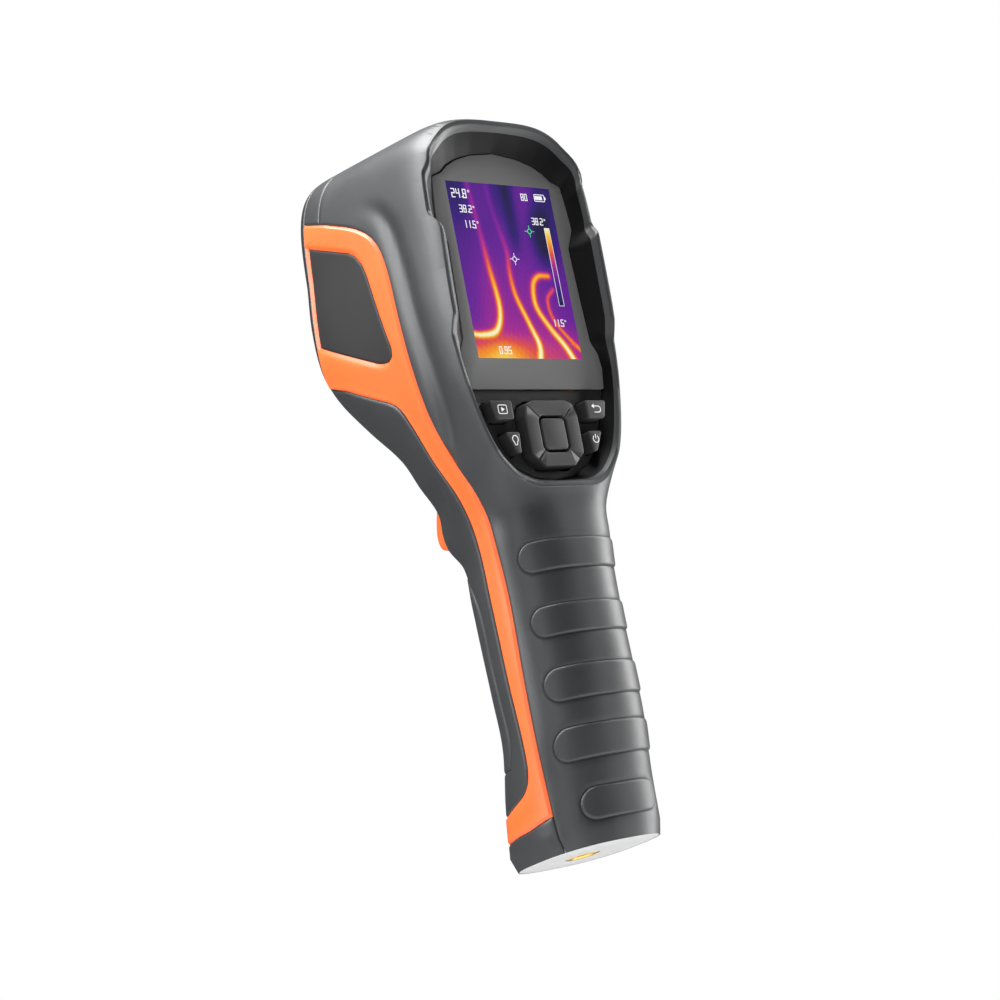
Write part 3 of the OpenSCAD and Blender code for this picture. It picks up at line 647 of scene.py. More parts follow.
# the rim's outer line, where the hood is cut
def rim_curve():
    """Surface parameters along the cut, from the bottom centre to the top centre."""
    def gap_at(u, th):
        d = to_display(surface(u, th))
        return d[..., 1] - rim_depth(d[..., 2], d[..., 0])

    def solve_u(th, lo, hi):
        lo, hi = np.full(len(th), float(lo)), np.full(len(th), float(hi))
        start = gap_at(lo, th) > 0
        for _ in range(40):
            mid = (lo + hi) / 2
            same = (gap_at(mid, th) > 0) == start
            lo, hi = np.where(same, mid, lo), np.where(same, hi, mid)
        return (lo + hi) / 2

    def solve_th(u):
        lo, hi = np.full(len(u), math.radians(80)), np.full(len(u), math.pi)
        for _ in range(40):
            mid = (lo + hi) / 2
            out = gap_at(u, mid) > 0
            lo, hi = np.where(out, mid, lo), np.where(out, hi, mid)
        return (lo + hi) / 2

    th = np.radians(np.linspace(180, 146, 40))
    low = solve_u(th, 84, 130)
    u = np.concatenate([np.linspace(low[-1], SHOULDER, 90)[1:], SHOULDER + np.linspace(0, 90, 76)[1:]])
    return np.vstack([np.stack([low, th], 1), np.stack([u, solve_th(u)], 1)])


RIM_UT = rim_curve()


MIDDLE = -8.0                       # height of the middle of the recess


def polar(d):
    """Angle of a display-frame point about the middle of the recess, 0 down, pi up."""
    return np.arctan2(d[..., 0], MIDDLE - d[..., 2])


rim_d = to_display(surface(RIM_UT[:, 0], RIM_UT[:, 1]))
rim_angle = polar(rim_d)
RECESS = rounded(mirrored(GLASS + DECK[1:]), 0.9, 3)


def ray_hit(poly, ang):
    """Point of a closed outline (x, z) in the direction ang from the middle of the recess."""
    o = np.array([0.0, MIDDLE])
    d = np.array([math.sin(ang), -math.cos(ang)])
    best = None
    for p, q in zip(poly, np.roll(poly, -1, 0)):
        e = q - p
        den = d[0] * e[1] - d[1] * e[0]
        if abs(den) < 1e-12:
            continue
        w = p - o
        t = (w[0] * e[1] - w[1] * e[0]) / den
        k = (w[0] * d[1] - w[1] * d[0]) / den
        if t > 0 and -1e-9 <= k <= 1 + 1e-9 and (best is None or t > best):
            best = t
    return o + d * best


corner_angles = [math.atan2(x, MIDDLE - z) for x, z in RECESS if x > 0.01]
ANGLES = np.unique(np.round(np.concatenate([np.linspace(0, math.pi, 121), corner_angles,
                                            rim_angle[::3].clip(0, math.pi)]), 4))
ANGLES[0], ANGLES[-1] = 0.0, math.pi
ANGLES = ANGLES[np.concatenate([[True], np.diff(ANGLES) > 0.004])]
ANGLES[-1] = math.pi
order = np.argsort(rim_angle)
OUT_UT = np.stack([np.interp(ANGLES, rim_angle[order], RIM_UT[order, 0]),
                   np.interp(ANGLES, rim_angle[order], RIM_UT[order, 1])], 1)
OUT_UT[0] = RIM_UT[0]
OUT_UT[-1] = RIM_UT[-1]
sheet.line(OUT_UT)

# port cover on top of the head
COVER_X, COVER_B0, COVER_B1 = 19.0, 6.0, 20.0


def on_top(xb):
    """Surface parameters of points x across and b along the top of the head."""
    xb = np.asarray(xb, float)
    lo_u, hi_u = np.full(len(xb), SHOULDER + 20.0), np.full(len(xb), END)
    for _ in range(20):
        u = (lo_u + hi_u) / 2
        lo, hi = np.zeros(len(xb)), np.full(len(xb), math.pi)
        for _ in range(20):
            mid = (lo + hi) / 2
            p = surface(u, mid)
            ahead = to_head(p[:, 1:])[:, 0] > xb[:, 1]
            lo, hi = np.where(ahead, mid, lo), np.where(ahead, hi, mid)
        wide = p[:, 0] > xb[:, 0]
        lo_u, hi_u = np.where(wide, u, lo_u), np.where(wide, hi_u, u)
    return np.stack([u, mid], 1)


# edges of the cover and of its opening: (inset at the sides, inset at the ends); the sides leave room to swing
FLAP, OPENING = (1.3, 0.06), (-0.25, -0.06)
for (side, end), more in ((FLAP, 0), (OPENING, 0), (FLAP, 0.3), (FLAP, 0.9), (OPENING, -0.4)):
    x, b0, b1 = COVER_X - (side + more), COVER_B0 + (end + more), COVER_B1 - (end + more)
    sheet.line(on_top(resample([(0.0, b0), (x, b0), (x, b1), (0.0, b1)], 1.2)))

UT, TRIS = sheet.cut()
XYZ = surface(UT[:, 0], UT[:, 1])
NRM = normal(UT[:, 0], UT[:, 1])

# ============ which moulding each triangle belongs to ============
CEN = XYZ[TRIS].mean(1)
CYZ = CEN[:, 1:]
CH = to_head(CYZ)
CD = to_display(CEN)
SIDE = {"rear": REAR_LINE, "top": TOP_SEAM, "front": FRONT_LINE, "front_edge": FRONT_EDGE, "low": TRIM_LOW,
        "band": BAND_TOP, "bezel": BEZEL_SEAM, "ring": REAR_TOP, "foot": REAR_FOOT, "grip": GRIP_LINE,
        "grip_top": GRIP_TOP, "grip_low": GRIP_LOW}
C_DIST = {k: distance(CYZ, v) for k, v in SIDE.items()}
V_DIST = {k: distance(XYZ[:, 1:], v) for k, v in SIDE.items()}
C_DIST["inlay"], V_DIST["inlay"] = distance(CYZ, INLAY, True), distance(XYZ[:, 1:], INLAY, True)

is_bezel = CH[:, 0] > BEZEL_B
is_inlay = inside(CYZ, INLAY)
is_trim = inside(CYZ, TRIM) & ~is_inlay & ~is_bezel
is_rear = inside(CYZ, REAR) & ~is_trim & ~is_inlay & ~is_bezel
is_grip = inside(CYZ, GRIP)
is_front = ~(is_bezel | is_inlay | is_trim | is_rear | is_grip)
behind = CD[:, 1] < rim_depth(CD[:, 2], CD[:, 0])
MEAN_UT = UT[TRIS].mean(1)
on_roof = MEAN_UT[:, 0] > SHOULDER + 20
in_slot = (CEN[:, 0] < SLOT_W) & (CEN[:, 2] > SLOT_LOW) & (CEN[:, 2] < SLOT_TOP) & (MEAN_UT[:, 1] < 1.2)


def box_distance(x, b, insets):
    """How far a place in the top view is inside the port cover's box, moved in by the insets."""
    dx = np.abs(x) - (COVER_X - insets[0])
    db = np.abs(b - (COVER_B0 + COVER_B1) / 2) - (COVER_B1 - COVER_B0) / 2 + insets[1]
    out = np.hypot(np.maximum(dx, 0), np.maximum(db, 0))
    return np.where(out > 0, -out, -np.maximum(dx, db))


V_HEAD = to_head(XYZ[:, 1:])
V_FLAP, V_OPEN = [box_distance(XYZ[:, 0], V_HEAD[:, 0], i) for i in (FLAP, OPENING)]
C_FLAP, C_OPEN = [box_distance(CEN[:, 0], CH[:, 0], i) for i in (FLAP, OPENING)]


def roll(d, width, depth, start=GAP):
    """Rounded edge: depth at distance start, fading to nothing at start + width."""
    t = 1 - np.clip((d - start) / width, 0, 1)
    return depth * t * t


def chamfer(d, width, depth, start=GAP):
    return depth * (1 - np.clip((d - start) / width, 0, 1))


def nearest(keys, table):
    return np.min([table[k] for k in keys.split()], axis=0)


# valley behind the coloured trim, and the soft fold that leaves it
VALLEY = through([(-18.5, 101), (-23.5, 110), (-26.6, 124), (-27.6, 140), (-28.0, 158), (-26.0, 172),
                  (-17.0, 181.5)], 6)


def valley_depth(p):
    fade = smooth((p[:, 2] - 99) / 14) * smooth((182 - p[:, 2]) / 16)
    return 1.25 * np.exp(-(distance(p[:, 1:], VALLEY) / 2.6) ** 2) * fade


# the pads stand PAD_H proud, with a groove GROOVE deep round each
PAD_H, GROOVE = 0.44, 0.26
at_back = UT[:, 1] > 1.6
pads = np.zeros(len(XYZ))
for line in PAD_LINES:
    flat = np.stack([(math.pi - UT[:, 1]) * RADIUS, XYZ[:, 2]], 1)
    hold = inside(flat, np.vstack([line, [(-30, line[-1][1]), (-30, line[0][1])]]))
    d = distance(flat, line)
    signed = np.where(hold, d, -d)
    rise = np.clip((signed + 0.05) / 0.6, 0, 1)
    pads += np.where(at_back, PAD_H * np.sin(rise * math.pi / 2), 0)
    pads -= np.where(at_back & ~hold, GROOVE * np.exp(-(d / 0.45) ** 2), 0)
slot_d = distance(XYZ[:, [0, 2]], SLOT)


def hood_drop(p):
    """How far the roof sinks towards the hood's edge."""
    d = to_display(p)
    return 1.3 * smooth((d[..., 2] - 30) / 7) * np.exp(-np.maximum(0, d[..., 1] - rim_depth(d[..., 2])) / 3.2)


REAR_SEAMS = "rear ring foot"
TRIM_SEAMS = "rear front top low band front_edge bezel"
FRONT_SEAMS = "front ring foot front_edge bezel grip grip_top grip_low low top band"
GRIP_SEAMS = "grip grip_top grip_low"
EDGE = (0.55, 0.34)                 # width and depth of the rounded edge along a seam


def past_hole(x, c):
    """How far each place is outside the edge of each round opening in the front."""
    return np.array([np.hypot(x - x0, c - c0) - r0 for x0, c0, r0 in FRONT_HOLES])


V_HOLE = np.abs(past_hole(XYZ[:, 0], V_HEAD[:, 1])).min(0)
in_hole = (past_hole(CEN[:, 0], CH[:, 1]) < 0).any(0) & (CH[:, 0] > 50)
# hollow round the trigger
scoop = 2.4 * np.exp(-((XYZ[:, 2] - 97.5) / 6.5) ** 2) * smooth((1.5 - UT[:, 1]) / 0.5)
# how far each moulding's face stands off the plain surface
LIFT = {
    "rear": -roll(nearest(REAR_SEAMS, V_DIST), *EDGE) - valley_depth(XYZ) - hood_drop(XYZ) + pads
            - np.where(UT[:, 0] > SHOULDER + 20, roll(-V_OPEN, 0.45, 0.3, 0.0), 0),
    "trim": 0.16 - chamfer(nearest(TRIM_SEAMS, V_DIST), 0.78, 0.55) - chamfer(V_DIST["inlay"], 1.05, 0.75),
    "inlay": -0.42 - roll(V_DIST["inlay"], 0.4, 0.2),
    "front": -roll(nearest(FRONT_SEAMS, V_DIST), *EDGE) - scoop
             - np.where(UT[:, 1] < 1.2, roll(slot_d, 0.7, 0.35, 0.0), 0),
    "bezel": -roll(V_DIST["bezel"], *EDGE) - roll(V_HOLE, 0.6, 0.4, 0.0),
    "grip": 0.1 - roll(nearest(GRIP_SEAMS, V_DIST), 0.75, 0.42),
    "cover": -roll(V_FLAP, 0.9, 0.5, 0.0),
}


def off(keys):
    """True clear of the gap along the named seams."""
    return ~(nearest(keys, C_DIST) < GAP)


PARTS = {
    "rear": is_rear & off(REAR_SEAMS) & ~behind & ~(on_roof & (C_OPEN > 0)),
    "trim": is_trim & off(TRIM_SEAMS + " inlay"),
    "inlay": is_inlay & off("inlay"),
    "front": is_front & off(FRONT_SEAMS) & ~in_slot,
    "bezel": is_bezel & off("bezel") & ~in_hole,
    "grip": is_grip & off(GRIP_SEAMS),
    "cover": on_roof & (C_FLAP > 0) & ~behind,
}


class Solid:
    """A growing triangle mesh with shared corners."""

    def __init__(self):
        self.v, self.f = [], []

    def add(self, verts, faces):
        n = len(self.v)
        self.v += [tuple(p) for p in verts]
        self.f += [tuple(int(i) + n for i in f) for f in faces]

    def mirror(self):
        n = len(self.v)
        self.v += [(-x, y, z) for x, y, z in self.v]
        self.f += [tuple(i + n for i in f[::-1]) for f in self.f]


def skin(key):
    """The outer face of a moulding on the +X half, and the surface normals at its corners."""
    tri = TRIS[PARTS[key]]
    used = np.unique(tri)
    new = np.full(len(XYZ), -1)
    new[used] = np.arange(len(used))
    p = XYZ[used] + NRM[used] * LIFT[key][used][:, None]
    p[(np.abs(XYZ[used, 0]) < 0.06) | (UT[used, 1] < 1e-4) | (UT[used, 1] > math.pi - 1e-4), 0] = 0.0
    p[:, [0, 2]] = np.maximum(p[:, [0, 2]], 0.0)
    tri = new[tri]
    n = np.cross(p[tri[:, 1]] - p[tri[:, 0]], p[tri[:, 2]] - p[tri[:, 0]])
    out = (n * NRM[used][tri].mean(1)).sum(1)
    tri[out < 0] = tri[out < 0][:, ::-1]
    return p, tri, NRM[used]


def moulding(name, key, mat, nodes, body="camera", side=0, t=1.2):
    """A closed solid: the outer skin, an inner face t inside it, and walls along the seams."""
    p, tri, n_out = skin(key)
    q = p - n_out * t
    flat = p[:, 0] == 0
    q[flat, 0] = 0.0
    q[:, 0] = np.maximum(q[:, 0], 0.0)
    q[:, 2] = np.maximum(q[:, 2], np.minimum(p[:, 2] + 0.02, 1.0))
    n = len(p)
    edges = {(f[i], f[(i + 1) % 3]): None for f in tri for i in range(3)}
    body_half = Solid()
    body_half.add(np.vstack([p, q]), list(tri) + [(f[2] + n, f[1] + n, f[0] + n) for f in tri])
    for a, b in edges:
        if (b, a) not in edges and not (flat[a] and flat[b]):
            body_half.f.append((int(b), int(a), int(a) + n, int(b) + n))
    if side == 0:
        body_half.mirror()
    elif side < 0:
        body_half.v = [(-x, y, z) for x, y, z in body_half.v]
        body_half.f = [f[::-1] for f in body_half.f]
    ob = make(name, body_half.v, body_half.f, mat, nodes, body)
    clean(ob.data, 0.003, 0.002, 32)


def thick_strip(name, rows, mat, t):
    """A band through the rows of points, mirrored, with an inner face t behind it and walls at its edges."""
    n = len(rows[0])
    band = Solid()
    band.add(np.vstack(rows), [(j * n + i, j * n + i + 1, (j + 1) * n + i + 1, (j + 1) * n + i)
                               for j in range(len(rows) - 1) for i in range(n - 1)])
    band.mirror()
    ob = make(name, band.v, band.f, mat)
    bm = bmesh.new()
    bm.from_mesh(ob.data)
    bmesh.ops.remove_doubles(bm, verts=bm.verts, dist=0.004 * MM)
    bmesh.ops.dissolve_degenerate(bm, edges=bm.edges, dist=0.002 * MM)
    bm.normal_update()
    border = [e for e in bm.edges if len(e.link_faces) == 1]
    outer = list(bm.faces)
    inner = {v: bm.verts.new(v.co - v.normal * (t * MM)) for v in list(bm.verts)}
    for f in outer:
        bm.faces.new([inner[v] for v in reversed(f.verts)])
    for e in border:
        for lp in e.link_faces[0].loops:
            if lp.edge == e:
                a, b = lp.vert, lp.link_loop_next.vert
        bm.faces.new([b, a, inner[a], inner[b]])
    finish_surface(bm, ob.data, 32)


# ============ rim of the hood and the recess walls ============
def rim_rows():
    """Rows of points from the hood's outer edge, over its rim, to the edge of the glass and the deck."""
    edge = surface(OUT_UT[:, 0], OUT_UT[:, 1])
    down = hood_drop(edge) + valley_depth(edge)
    outer = to_display(edge - normal(OUT_UT[:, 0], OUT_UT[:, 1]) * down[:, None])
    outer[0, 0] = outer[-1, 0] = 0.0
    glass = np.array([ray_hit(RECESS, a) for a in ANGLES])
    glass[0, 0] = glass[-1, 0] = 0.0
    lead = glass - outer[:, [0, 2]]
    size = np.linalg.norm(lead, axis=1)[:, None]
    lip = outer[:, [0, 2]] + lead / size * np.minimum(1.55, size * 0.6)
    depth = rim_depth(lip[:, 1]) * 0.35 + outer[:, 1] * 0.65

    def row(xz, y):
        p = np.stack([xz[:, 0], y, xz[:, 1]], 1)
        q = np.array([display_point(*v) for v in p])
        q[[0, -1], 0] = 0.0
        return q

    o = outer[:, [0, 2]]
    start = lip + lead / size * 0.22
    rows = [row(o, outer[:, 1]), row(o + lead / size * 0.22, outer[:, 1] - 0.2),
            row(o + lead / size * 0.3, depth - 0.22), row(o + (lip - o) * 0.85, depth - 0.22),
            row(lip, depth - 0.1), row(start, depth + 0.15)]
    for k in (0.2, 0.45, 0.7, 0.92, 1.0):
        rows.append(row(start + (glass - start) * k, (depth + 0.15) * (1 - k ** 1.15) + 0.5 * k ** 1.15))
    rows.append(row(glass, np.full(len(glass), 1.1)))
    return rows


RIM_ROWS = rim_rows()
LIP = 6                             # the row where the lip ends and the wall of the recess starts
moulding("rear_shell_skin", "rear", M["shell"], ["rear_shell"])
thick_strip("hood_rim", RIM_ROWS[:LIP + 1], M["shell"], 0.7)
# the recess walls' near-black material is black plastic plus painted shade of the deep hood
thick_strip("recess_walls", RIM_ROWS[LIP:], M["recess_shade"], 0.6)
moulding("front_shell_skin", "front", M["shell_front"], ["front_shell"])
moulding("front_bezel_skin", "bezel", M["black"], ["front_bezel"])
moulding("front_grip_skin", "grip", M["grip"], ["front_grip"])
moulding("port_cover_skin", "cover", M["cover"], ["port_cover"], body="port_flap")
for sgn, word in ((1, "right"), (-1, "left")):
    moulding("trim_" + word, "trim", M["trim"], ["side_trim_" + word], side=sgn, t=1.0)
    moulding("inlay_" + word, "inlay", M["inlay"], ["side_inlay_" + word], side=sgn, t=0.8)


# ============ flat pieces: outlines with rounded edges ============
def tidy_loop(poly):
    """A closed outline, anticlockwise, without repeated points."""
    p = np.asarray(poly, float)
    keep = [i for i in range(len(p)) if np.linalg.norm(p[i] - p[i - 1]) > 0.004]
    p = p[keep]
    return p if area_of(p) > 0 else p[::-1]


def area_of(p):
    return 0.5 * float(np.sum(p[:, 0] * np.roll(p[:, 1], -1) - np.roll(p[:, 0], -1) * p[:, 1]))


def slab_mesh(name, loops, depth, bevel, place, segments=2):
    """A plate from closed outlines (later ones are holes), front face at local z = 0, both faces rounded off."""
    loops = [tidy_loop(p) for p in loops]
    turns = [math.pi / 2 * k / segments for k in range(segments + 1)] if segments else [0.0]
    profile = [(bevel * (1 - math.sin(t)), -bevel * (1 - math.cos(t))) for t in turns]
    profile = profile + [(o, -depth - z) for o, z in profile[::-1]]
    verts, faces, rings = [], [], []
    for li, loop in enumerate(loops):
        rows = []
        for o, z in profile:
            q = offset_line(loop, o if li == 0 else -o, True)
            rows.append(range(len(verts), len(verts) + len(q)))
            verts += [(x, y, z) for x, y in q]
        rings.append(rows)
        n = len(loop)
        for j in range(len(rows) - 1):
            for i in range(n):
                k = (i + 1) % n
                f = (rows[j][i], rows[j + 1][i], rows[j + 1][k], rows[j][k])
                faces.append(f if li == 0 else f[::-1])
    for end in (0, -1):
        ids, edges = [], []
        for rows in rings:
            base, row = len(ids), list(rows[end])
            ids += row
            edges += [(base + i, base + (i + 1) % len(row)) for i in range(len(row))]
        v, _, f, orig, _, _ = delaunay_2d_cdt([Vector(verts[i][:2]) for i in ids], edges, [], 0, 1e-6)
        flat = np.array([tuple(q) for q in v])
        tri = np.array([list(t) for t in f])
        cen = flat[tri].mean(1)
        good = inside(cen, np.array([verts[i][:2] for i in rings[0][end]]))
        for rows in rings[1:]:
            good &= ~inside(cen, np.array([verts[i][:2] for i in rows[end]]))
        z = verts[ids[0]][2]
        corner = {}
        for c in tri[good].ravel().tolist():
            if c in corner:
                continue
            if orig[c]:
                corner[c] = ids[orig[c][0]]
            else:
                corner[c] = len(verts)
                verts.append((*flat[c], z))
        for t in tri[good].tolist():
            out = tuple(corner[c] for c in t)
            faces.append(out if end == 0 else out[::-1])
    me = mesh_of(name, [place(*p) for p in verts], faces)
    clean(me, 0.001, 0, 38)
    return me


def slab(name, loops, depth, bevel, place, mat, nodes=(), body="camera", segments=2):
    add_piece(name, slab_mesh(name, loops, depth, bevel, place, segments), mat, nodes, body)


def on_display(front):
    """Places a slab with its front face at depth front (negative is towards the user)."""
    return lambda x, y, z: display_point(x, front - z, y)


def circle(r, n=64, cx=0.0, cy=0.0):
    return [(cx + r * math.cos(2 * math.pi * i / n), cy + r * math.sin(2 * math.pi * i / n)) for i in range(n)]


def grow(poly, d):
    """A closed outline moved outward by d."""
    return offset_line(tidy_loop(poly), -d, True)


def box(w, h, cx=0.0, cy=0.0):
    return [(cx + i * w / 2, cy + j * h / 2) for i, j in ((-1, -1), (1, -1), (1, 1), (-1, 1))]


def rect(w, h, cx, cy, r):
    return rounded(box(w, h, cx, cy), r, 4)


# ============ display window and its picture ============
SCREEN_W, SCREEN_H = 36.72, 48.96
GLASS_LOOP = rounded(mirrored(GLASS + [(0, -33)]), 0.8, 3)
slab("display_window_border", [grow(GLASS_LOOP, -0.06), box(SCREEN_W, SCREEN_H)], 1.1, 0.03, on_display(0.0),
     M["border"], ["display_window"])


def hot_field(x, y):
    """Warmth from 0 to 1 over the picture; x to the right and y up, both from -1 to 1."""
    warm = 0.33 - 0.12 * y + 0.05 * np.sin(3.1 * x + 1.2) - 0.08 * smooth((y - 0.35) / 0.5) * np.cos(7 * x)
    warm += 0.10 * np.exp(-((x + 0.55) ** 2) / 0.10) * smooth(0.8 - y)

    def ridge(points, width, height):
        line = through(points, 10)
        d = distance(np.stack([x.ravel(), y.ravel() * 1.33], 1), line * np.array([1, 1.33])).reshape(x.shape)
        return height * np.exp(-(d / width) ** 2)

    low = smooth((0.55 - y) / 1.1)
    warm = warm + ridge([(-1.1, -0.72), (-0.84, -0.74), (-0.55, -0.68), (-0.42, -0.42), (-0.48, 0.05), (-0.52, 0.4),
                         (-0.62, 1.1)], 0.055, 0.20 + 0.32 * low)
    warm = warm + ridge([(0.14, -1.1), (0.21, -0.86), (0.10, -0.62), (-0.07, -0.28), (-0.10, 0.0), (-0.08, 0.25),
                         (-0.22, 0.75), (-0.24, 1.1)], 0.05, 0.12 + 0.36 * low)
    warm = warm + ridge([(0.64, -0.04), (0.44, -0.05), (0.31, -0.16), (0.29, -0.40), (0.48, -0.64), (0.72, -0.86),
                         (0.9, -1.1)], 0.055, 0.50)
    warm = warm + ridge([(0.68, -0.20), (0.54, -0.32), (0.58, -0.54), (0.84, -0.78), (1.1, -0.95)], 0.04, 0.30)
    warm = warm + 0.26 * smooth((-y - 0.66) / 0.35) * smooth((0.35 - x) / 0.9) + 0.12 * smooth((-y - 0.5) / 0.5)
    cold = 0.55 * np.exp(-((x - 0.68) / 0.20) ** 2) * smooth((0.95 - y) / 0.5) * smooth((y + 0.1) / 0.5)
    cold += 0.30 * np.exp(-((x - 0.13) / 0.12) ** 2) * smooth((y - 0.05) / 0.4)
    grain = 0.012 * np.sin(61 * x + 17 * y) * np.sin(47 * y - 13 * x)
    return np.clip(warm - cold * 0.7 + grain, 0, 1)


PALETTE = [(0.0, (0.012, 0.010, 0.060)), (0.18, (0.040, 0.010, 0.210)), (0.36, (0.150, 0.012, 0.330)),
           (0.52, (0.420, 0.020, 0.300)), (0.66, (0.800, 0.080, 0.060)), (0.80, (0.980, 0.330, 0.015)),
           (0.92, (1.0, 0.680, 0.080)), (1.0, (1.0, 0.960, 0.600))]


def iron(t):
    k = [p for p, _ in PALETTE]
    return np.stack([np.interp(t, k, [c[i] for _, c in PALETTE]) for i in range(3)], -1)


def picture(nx=190, ny=254):
    """The lit display: one face per cell of an even grid, coloured by the formula above."""
    xs, ys = np.linspace(-1, 1, nx), np.linspace(-1, 1, ny)
    gx, gy = np.meshgrid(xs, ys)
    col = iron(hot_field(gx, gy))
    bar = (np.abs(gx - 0.80) < 0.045) & (gy > -0.38) & (gy < 0.52)
    col[bar] = iron(np.clip((gy[bar] + 0.38) / 0.90, 0, 1))
    verts = [display_point(x * SCREEN_W / 2 * 0.999, 0.10, y * SCREEN_H / 2 * 0.999) for y in ys for x in xs]
    faces = [(j * nx + i, j * nx + i + 1, (j + 1) * nx + i + 1, (j + 1) * nx + i)
             for j in range(ny - 1) for i in range(nx - 1)]
    mat, nt, bsdf = node_material("lit_picture")
    warmth = nt.nodes.new("ShaderNodeAttribute")
    warmth.attribute_name = "warmth"
    grain = noise(nt, 4200.0, 1.0, 0.5, object_coords(nt))
    glow = add_node(nt, "MixRGB", {"Fac": 0.12, "Color1": warmth.outputs["Color"], "Color2": grain})
    glow.blend_type = "MULTIPLY"
    plug(nt, bsdf, {"Base Color": (0.01, 0.01, 0.01, 1), "Roughness": 0.16, "Specular IOR Level": 0.3,
                    "Emission Color": glow.outputs["Color"], "Emission Strength": 0.95})
    ob = make("display_picture", verts, faces, mat, ["lcd_module"])
    attr = ob.data.color_attributes.new("warmth", "FLOAT_COLOR", "POINT")
    flat = np.concatenate([col.reshape(-1, 3), np.ones((nx * ny, 1))], 1)
    attr.data.foreach_set("color", flat.ravel().astype(np.float32))
    bm = bmesh.new()
    bm.from_mesh(ob.data)
    geo = bmesh.ops.extrude_face_region(bm, geom=list(bm.faces), use_keep_orig=True)
    shift = Vector(display_point(0, 1.0, 0)) - Vector(display_point(0, 0, 0))
    for v in geo["geom"]:
        if isinstance(v, bmesh.types.BMVert):
            v.co += shift * MM
    bmesh.ops.recalc_face_normals(bm, faces=bm.faces)
    bm.to_mesh(ob.data)
    bm.free()


picture()


def stroke(points, width, closed=False):
    """A closed outline (or two, for a ring) round a line of the given width."""
    left, right = [offset_line(points, side * width / 2, closed) for side in (1, -1)]
    if closed:
        return sorted([left, right], key=lambda p: -abs(area_of(p)))
    return [np.vstack([left, right[::-1]])]


def marks(name, groups, front, mat, body="camera", depth=0.06):
    """Several small flat shapes joined into one piece."""
    bm = bmesh.new()
    for loops in groups:
        me = slab_mesh(name, loops, depth, 0.0, on_display(front), segments=0)
        bm.from_mesh(me)
        bpy.data.meshes.remove(me)
    me = bpy.data.meshes.new(name)
    bm.to_mesh(me)
    bm.free()
    add_piece(name, me, mat, (), body)


SEGMENTS = {"a": ((0, 2), (1, 2)), "b": ((1, 1), (1, 2)), "c": ((1, 0), (1, 1)), "d": ((0, 0), (1, 0)),
            "e": ((0, 0), (0, 1)), "f": ((0, 1), (0, 2)), "g": ((0, 1), (1, 1))}
DIGITS = {"0": "abcdef", "1": "bc", "2": "abged", "3": "abgcd", "4": "fgbc", "5": "afgcd", "6": "afgedc", "7": "abc",
          "8": "abcdefg", "9": "gfabcd"}


def number(text, x, y, h, w=0.24):
    """Seven-segment digits, a point, and o for a degree mark, h tall from (x, y), in strokes w wide."""
    out = []
    for ch in text:
        if ch == ".":
            out.append([rect(w * 1.3, w * 1.3, x + w, y + w * 0.6, 0.05)])
            x += h * 0.28
        elif ch == "o":
            out.append([circle(h * r, 16, x + h * 0.16, y + h * 0.84) for r in (0.16, 0.09)])
            x += h * 0.5
        else:
            for segment in DIGITS[ch]:
                (x0, y0), (x1, y1) = SEGMENTS[segment]
                p, q = (x + x0 * h * 0.42, y + y0 * h / 2), (x + x1 * h * 0.42, y + y1 * h / 2)
                cx, cy = (p[0] + q[0]) / 2, (p[1] + q[1]) / 2
                out.append([rect(abs(q[0] - p[0]) + w, abs(q[1] - p[1]) + w, cx, cy, 0.06)])
            x += h * 0.42 + h * 0.28
    return out


def reticle(x, y, r):
    out = [[circle(r * 0.48, 24, x, y), circle(r * 0.36, 24, x, y)]]
    for dx, dy in ((1, 0), (-1, 0), (0, 1), (0, -1)):
        w, h = 0.16 + abs(dx) * r * 0.5, 0.16 + abs(dy) * r * 0.5
        out.append([rect(w, h, x + dx * r * 0.75, y + dy * r * 0.75, 0.03)])
    return out


white = number("24.8o", -16.8, 20.0, 2.3, 0.28)
for text, x, y, h in (("38.2o", -15.0, 15.9, 1.9), ("11.5o", -14.6, 11.6, 1.9), ("80", 7.6, 20.5, 1.8),
                      ("38.2o", 9.9, 13.7, 1.8), ("11.5o", 10.2, -15.2, 1.8), ("0.95", -10.6, -23.2, 1.9)):
    white += number(text, x, y, h)
white += [stroke(rect(3.6, 1.9, 14.2, 21.5, 0.3), 0.22, True), [rect(0.4, 0.8, 16.3, 21.5, 0.1)],
          [rect(2.6, 1.1, 13.9, 21.5, 0.1)]]
white += reticle(0.9, 3.4, 1.6)
frame_bar = [stroke(rect(1.75, 22.2, 14.7, 1.7, 0.05), 0.12, True)]
for name, groups, colour in (("numbers", white, "lit_white"), ("cold_mark", reticle(8.2, 11.6, 1.6), "lit_green"),
                             ("hot_mark", reticle(16.2, -20.2, 1.5), "lit_red"),
                             ("palette_frame", frame_bar, "lit_white")):
    marks("display_" + name, groups, 0.06, M[colour], depth=0.05)

# ============ keypad ============
DECK_LOOP = rounded(mirrored([(0, -33.2)] + DECK), 0.7, 3)
NAV = mirrored([(0, -36.9), (5.6, -36.9), (8.2, -38), (9.2, -41.3), (9.1, -51.3), (5.2, -54.8), (0, -54.8)])
OK = mirrored([(0, -41.8), (3.3, -41.8), (4.1, -42.6), (4.1, -49.5), (3.3, -50.3), (0, -50.3)])
WIDE = [(13, -36.9), (20.1, -36.9), (20.3, -37.6), (19.3, -41.3), (18.5, -42), (13, -42)]
NARROW = [(12.2, -45.4), (16.5, -45.4), (16.7, -46), (14.3, -50.7), (13.5, -51.1), (12.7, -51)]


def flip(poly):
    return [(-x, z) for x, z in poly][::-1]


RISE = 3.3                          # how far the keys stand out of the display's plane


